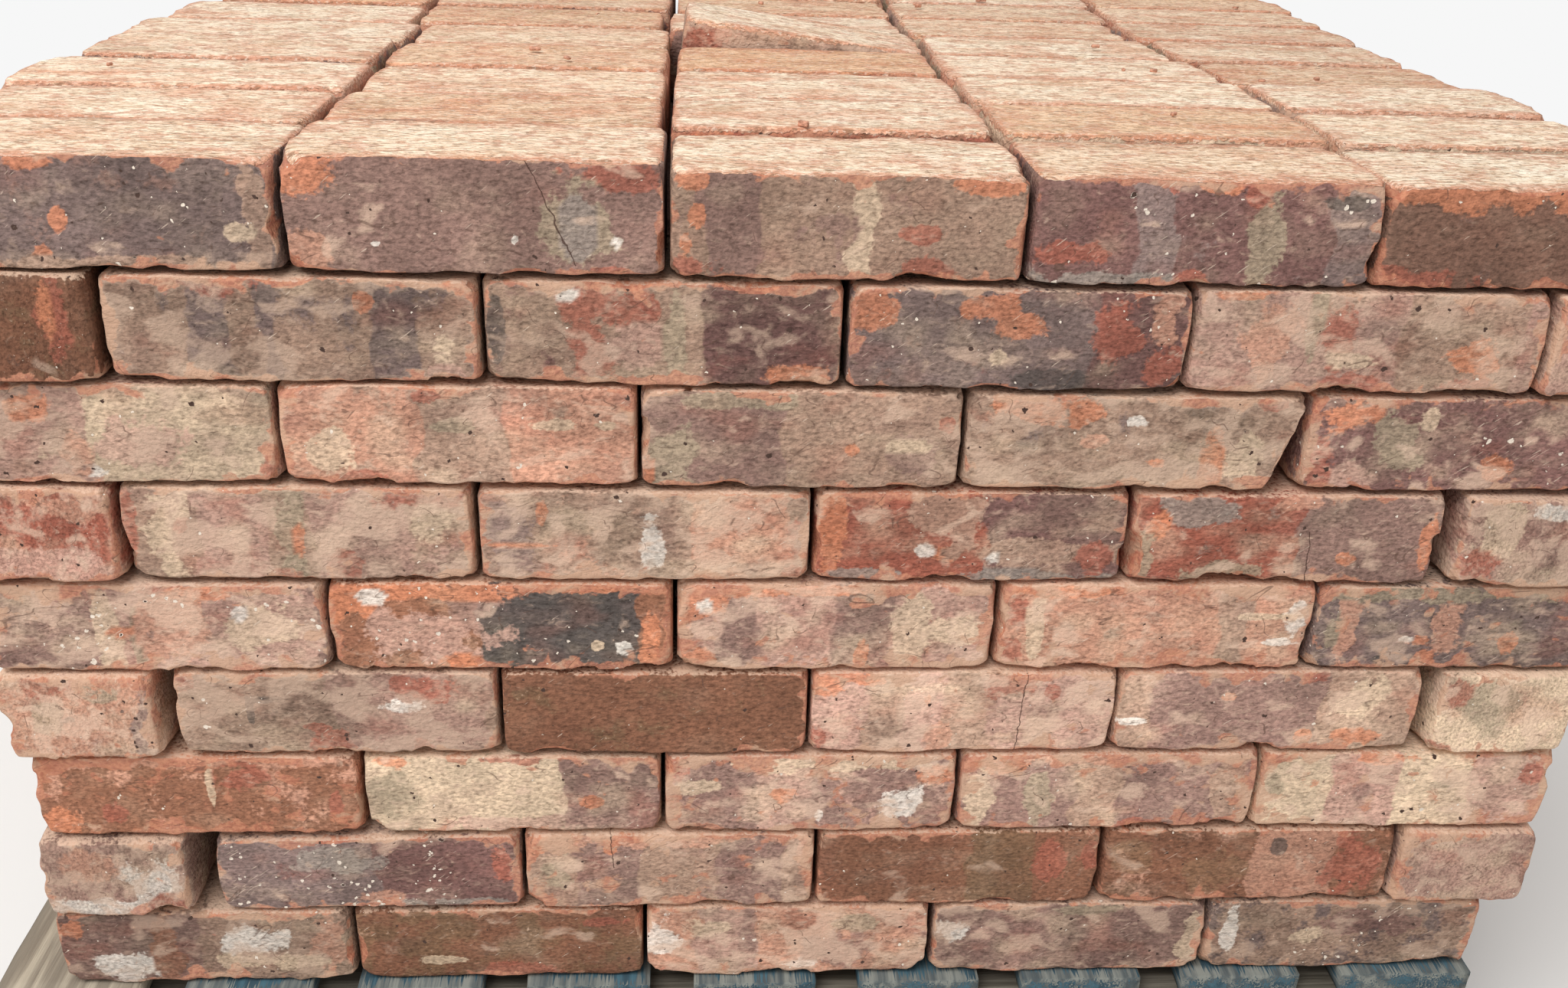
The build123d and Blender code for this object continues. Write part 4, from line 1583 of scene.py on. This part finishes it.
@dataclass
class BrickStack:
    """Nine courses of loose bricks.

    Attributes:
        courses: Number of courses, the bottom one being course 1.
        front_quads: Quads along, across and up a brick of the front row.
        header_quads: The same for a brick that shows its end.
        top_quads: The same for the other bricks of the top course.
        side_quads: The same for the bricks at the sides and the back of lower courses.
        front_chips: How many random chips a brick of the front row has.
        front_slack: How much lower than its course a brick of the front row may be, in mm.
        top_slack: The same for the top course.
        dust_and_highlight: How far the upper arrises of lower courses are paled by dust and by painted
            highlight, from 0 to 1.
        seed: Picks one set of random bricks.
        crumbs: Number of crumbs of brick and mortar on the top.
        crumb_size: Least and greatest mean half size of a crumb, in mm.
        crumb_inset: Least distance of a crumb from the sides, the front and the back, in mm.
        crumb_quads: Quads along, across and up a crumb.
        sunk: How far a crumb lies in the worn skin of the top, below the CAD model's, in mm.
        apart: Least distance between a crumb and the raised brick, in mm.
    """

    courses: int = 9
    front_quads: tuple[int, int, int] = (84, 8, 26)
    header_quads: tuple[int, int, int] = (20, 36, 26)
    top_quads: tuple[int, int, int] = (46, 16, 6)
    side_quads: tuple[int, int, int] = (16, 8, 8)
    front_chips: int = 20
    front_slack: float = 2.2
    top_slack: float = 0.8
    dust_and_highlight: float = 0.6
    seed: int = 4
    crumbs: int = 26
    crumb_size: tuple[float, float] = (1.4, 3.4)
    crumb_inset: tuple[float, float, float] = (30, 12, 60)
    crumb_quads: tuple[int, int, int] = (6, 6, 4)
    sunk: float = 2.2
    apart: float = 8.0

    def build(self) -> None:
        """Dresses every course and gives the hidden bricks their material."""
        clay = FiredClay().build()
        # This material paints the upper faces of the top course pale: sun bleach and painted highlight.
        bleached_and_highlit = FiredClay("bleached_and_highlit_fired_clay", bleached_and_highlit=True).build()
        plain = FiredClay("plain_fired_clay", dressed=False).build()
        draws = np.random.default_rng(self.seed)
        side = BrickShaper(Lattice.of(self.side_quads), HANDLED, draws)
        top = BrickShaper(Lattice.of(self.top_quads), WEATHERED, draws, slack=self.top_slack)
        for course in range(1, self.courses + 1):
            is_top = course == self.courses
            skin = bleached_and_highlit if is_top else clay
            self.build_front(course, draws, skin)
            self.build_random(f"course_{course}_outer_bricks", top if is_top else side, is_top, skin)
            if is_top:
                self.build_random(f"course_{course}_inner_bricks", top, True, skin)
            else:
                self.give(f"course_{course}_inner_bricks", plain)
        solids = Solids.of_tipped_node("raised_brick")
        look = BrickLook(TAN, PINK, patches=patches((RED, 10, 40, 34, 30)), film=0.5, shade=0.9)
        top.shape(solids, [look], 1.0).to_object("worn_raised_brick", "clay_brick", bleached_and_highlit, "raised_brick")
        self.give("chip_under_raised_brick", plain)
        self.scatter_crumbs(FiredClay("crumbled_fired_clay", dressed=False, undressed=SALMON).build())

    def scatter_crumbs(self, material: bpy.types.Material) -> None:
        """Beds crumbs, which broke off when the bricks were stacked, a millimetre or two into the tops.

        Args:
            material: Their material.
        """
        draws = np.random.default_rng(self.seed)
        low, high = np.array(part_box(f"course_{self.courses}_front_row")) / MM
        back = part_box(f"course_{self.courses}_outer_bricks")[1][1] / MM
        size = draws.uniform(*self.crumb_size, (self.crumbs, 1))
        half = size * draws.uniform((0.8, 0.7, 0.6), (1.7, 1.2, 0.9), (self.crumbs, 3))
        side, front, rear = self.crumb_inset
        nearest, farthest = (low[0] + side, low[1] + front, 0), (high[0] - side, back - rear, 0)
        spot = draws.uniform(nearest, farthest, (self.crumbs, 3))
        spot[:, 2] = high[2] + 0.5 * half[:, 2] - self.sunk
        raised = np.array(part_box("raised_brick")) / MM
        clear = np.any((spot < raised[0] - self.apart) | (spot > raised[1] + self.apart), axis=1)
        half, spot = half[clear], spot[clear]
        lattice = Lattice.of(self.crumb_quads)
        points, _, _ = CRUMBLED.shape(lattice, half, 50 * spot)
        turn = draws.uniform(0, math.pi, len(spot))[:, None]
        along = points[..., 0] * np.cos(turn) - points[..., 1] * np.sin(turn)
        across = points[..., 0] * np.sin(turn) + points[..., 1] * np.cos(turn)
        points = np.stack([along, across, points[..., 2]], axis=-1) + spot[:, None]
        Surface(points, lattice.quads, {}, {}, points).to_object("crumbs_on_top", "clay_brick", material)

    def build_random(self, node: str, shaper: BrickShaper, is_top: bool, clay: bpy.types.Material) -> None:
        """Dresses the bricks of one node with random looks.

        Args:
            node: The CAD node.
            shaper: Makes the bricks.
            is_top: Whether they are in the top course.
            clay: Their material.
        """
        solids = Solids.of_node(node)
        looks = shaper.random_looks(len(solids.half))
        surface = shaper.shape(solids, looks, 1.0 if is_top else self.dust_and_highlight)
        surface.to_object(f"worn_{node}", "clay_brick", clay, node)

    def build_front(self, course: int, draws: np.random.Generator, clay: bpy.types.Material) -> None:
        """Dresses the front row of one course.

        Args:
            course: The course.
            draws: Random numbers.
            clay: Their material.
        """
        node = f"course_{course}_front_row"
        solids = Solids.of_node(node)
        order = np.argsort(solids.middle[:, 0])
        solids = solids.closed(order)
        is_header = np.abs(solids.axes[order, 0, 1]) > 0.5
        is_top = course == self.courses
        kinds = ((~is_header, self.front_quads, "stretchers"), (is_header, self.header_quads, "headers"))
        for chosen, quads, name in kinds:
            if not chosen.any():
                continue
            rows = order[chosen]
            part = Solids(solids.middle[rows], solids.axes[rows], solids.half[rows])
            looks = [FRONT_LOOKS[course][i] for i in np.nonzero(chosen)[0]]
            wear, slack = (WEATHERED, self.top_slack) if is_top else (HANDLED, self.front_slack)
            shaper = BrickShaper(Lattice.of(quads), wear, draws, self.front_chips, slack)
            surface = shaper.shape(part, looks, 1.0 if is_top else self.dust_and_highlight)
            surface.to_object(f"course_{course}_front_{name}", "clay_brick", clay, node)

    @staticmethod
    def give(node: str, material: bpy.types.Material) -> None:
        """Gives a CAD node that stays as it is another material."""
        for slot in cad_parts[node].material_slots:
            slot.link = "OBJECT"
            slot.material = material


@dataclass
class Pallet:
    """The wooden pallet under the stack.

    Attributes:
        board_quads: Quads along, across and through a board.
        block_quads: The same for a block.
        seed: Picks one set of random boards.
    """

    board_quads: tuple[int, int, int] = (48, 8, 4)
    block_quads: tuple[int, int, int] = (8, 8, 8)
    seed: int = 8

    def build(self) -> None:
        """Dresses every board and block."""
        draws = np.random.default_rng(self.seed)
        bare = SawnWood("weathered_bare_softwood", "BBAF9B", "8A7F70").build()
        # The deck boards' paint and wood are given darker than they are: painted shade for the shade they lie
        # in under the stack.
        painted = SawnWood("worn_painted_softwood_in_painted_shade", "858780", "4F5658", ("2A4552", "4A6B78"), 0.9).build()
        rough = SawnWood("grey_rough_softwood", "7F786C", "565046").build()
        board, block = Lattice.of(self.board_quads), Lattice.of(self.block_quads)
        for name in sorted(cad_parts):
            if "brick" in name or "front_row" in name:
                continue
            slot, material = "rough_wood", rough
            if name == "deck_board_1":
                slot, material = "bare_wood", bare
            elif name.startswith("deck_board"):
                slot, material = "painted_wood", painted
            solids = Solids.of_node(name)
            shift = draws.uniform(0, NOISE_REACH, (1, 3))
            lattice = block if name.startswith("block") else board
            points, edge, _ = SAWN.shape(lattice, solids.half, shift)
            place = points + shift[:, None]
            points = np.einsum("npi,nij->npj", points, solids.axes) + solids.middle[:, None]
            surface = Surface(points, lattice.quads, {"edge": edge}, {}, place)
            surface.to_object(f"sawn_{name}", slot, material, name)


@dataclass
class Studio:
    """Floor, light and camera.

    Attributes:
        eye: Place of the camera in mm.
        yaw: Turn of the camera to the right of the view along +Y, in degrees.
        pitch: How far it looks down, in degrees.
        roll: How far it leans, in degrees.
        lens: Focal length in mm.
        sensor: Width of the sensor in mm.
        sky: Strength of the even light from all around.
        white: How bright the background is to the camera, 1 being white.
        lamp_power: Power of the large soft lamp, in watts.
        lamp_size: Width of the lamp in mm.
        lamp_place: Place of the lamp in mm.
        lamp_aim: What it points at, in mm.
        floor_colour: Colour of the floor as sRGB hex.
        floor_reach: Half the width of the floor in mm.
        floor_fade: Distances from the middle between which the floor fades to white, in mm.
    """

    eye: tuple[float, float, float] = (-52.2, -1381.8, 1035.8)
    yaw: float = 3.96
    pitch: float = 26.09
    roll: float = 2.12
    lens: float = 33.35
    sensor: float = 36.0
    sky: float = 0.58
    white: float = 0.93
    lamp_power: float = 150.0
    lamp_size: float = 2400.0
    lamp_place: tuple[float, float, float] = (-1500, -2300, 3900)
    lamp_aim: tuple[float, float, float] = (0, 0, 500)
    floor_colour: str = "F1EFEC"
    floor_reach: float = 9000.0
    floor_fade: tuple[float, float] = (1100, 2600)

    def build(self) -> None:
        """Sets up the stage."""
        self.build_camera()
        self.build_light()
        self.build_floor()
        bpy.context.scene.view_settings.view_transform = "Standard"

    def build_camera(self) -> None:
        """Aims the camera from its three angles."""
        yaw, pitch, roll = (math.radians(a) for a in (self.yaw, self.pitch, self.roll))
        ahead = Vector((math.sin(yaw) * math.cos(pitch), math.cos(yaw) * math.cos(pitch), -math.sin(pitch)))
        level = Vector((math.cos(yaw), -math.sin(yaw), 0))
        up = level.cross(ahead)
        right = math.cos(roll) * level + math.sin(roll) * up
        top = math.cos(roll) * up - math.sin(roll) * level
        camera = add_object("camera", bpy.data.cameras.new("camera"))
        camera.data.sensor_width = self.sensor
        camera.data.lens = self.lens
        turned = Matrix((right, top, -ahead)).transposed().to_4x4()
        camera.matrix_world = Matrix.Translation(Vector(self.eye) * MM) @ turned
        bpy.context.scene.camera = camera

    def build_light(self) -> None:
        """An even sky, white behind the object, and one large soft lamp above the front left."""
        world = bpy.data.worlds.new("studio")
        bpy.context.scene.world = world
        world.use_nodes = True
        tree = world.node_tree
        background = tree.nodes["Background"]
        path = add_node(tree, "ShaderNodeLightPath")
        inputs = {"Value": path.outputs["Is Camera Ray"], "To Min": self.sky, "To Max": self.white}
        strength = add_node(tree, "ShaderNodeMapRange", inputs).outputs[0]
        tree.links.new(strength, background.inputs["Strength"])
        background.inputs["Color"].default_value = (1, 1, 1, 1)
        lamp = add_object("soft_lamp", bpy.data.lights.new("soft_lamp", "AREA"))
        lamp.data.size = self.lamp_size * MM
        lamp.data.energy = self.lamp_power
        place = Vector(self.lamp_place) * MM
        aim = (Vector(self.lamp_aim) * MM - place).to_track_quat("-Z", "Y").to_matrix().to_4x4()
        lamp.matrix_world = Matrix.Translation(place) @ aim

    def build_floor(self) -> None:
        """A plain pale floor, white to the camera away from the pallet."""
        mesh = bpy.data.meshes.new("floor")
        reach = self.floor_reach * MM
        corners = [(-reach, -reach, 0), (reach, -reach, 0), (reach, reach, 0), (-reach, reach, 0)]
        mesh.from_pydata(corners, [], [(0, 1, 2, 3)])
        mesh.materials.append(self.floor_material())
        add_object("floor", mesh)

    def floor_material(self) -> bpy.types.Material:
        """A dull pale surface that fades to plain white light far off, for camera rays alone."""
        material = bpy.data.materials.new("pale_floor")
        graph = Graph.of(material, dressed=False)
        tree = graph.tree
        shader = tree.nodes["Principled BSDF"]
        shader.inputs["Base Color"].default_value = linear(self.floor_colour)
        shader.inputs["Roughness"].default_value = 0.9
        far = add_node(tree, "ShaderNodeVectorMath", {0: graph.place}, operation="LENGTH").outputs["Value"]
        near_end, far_end = (distance * MM for distance in self.floor_fade)
        seen = add_node(tree, "ShaderNodeLightPath").outputs["Is Camera Ray"]
        share = graph.math("MULTIPLY", graph.span(far, near_end, far_end), seen)
        white = add_node(tree, "ShaderNodeEmission", {"Strength": self.white}).outputs[0]
        mixed = add_node(tree, "ShaderNodeMixShader", {0: share, 1: shader.outputs[0], 2: white}).outputs[0]
        tree.links.new(mixed, tree.nodes["Material Output"].inputs["Surface"])
        return material


def main() -> None:
    """Builds the stage, the stack and the pallet."""
    logging.basicConfig(level=logging.INFO, format="%(message)s")
    Studio().build()
    BrickStack().build()
    Pallet().build()
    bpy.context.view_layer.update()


if __name__ == "__main__":
    main()
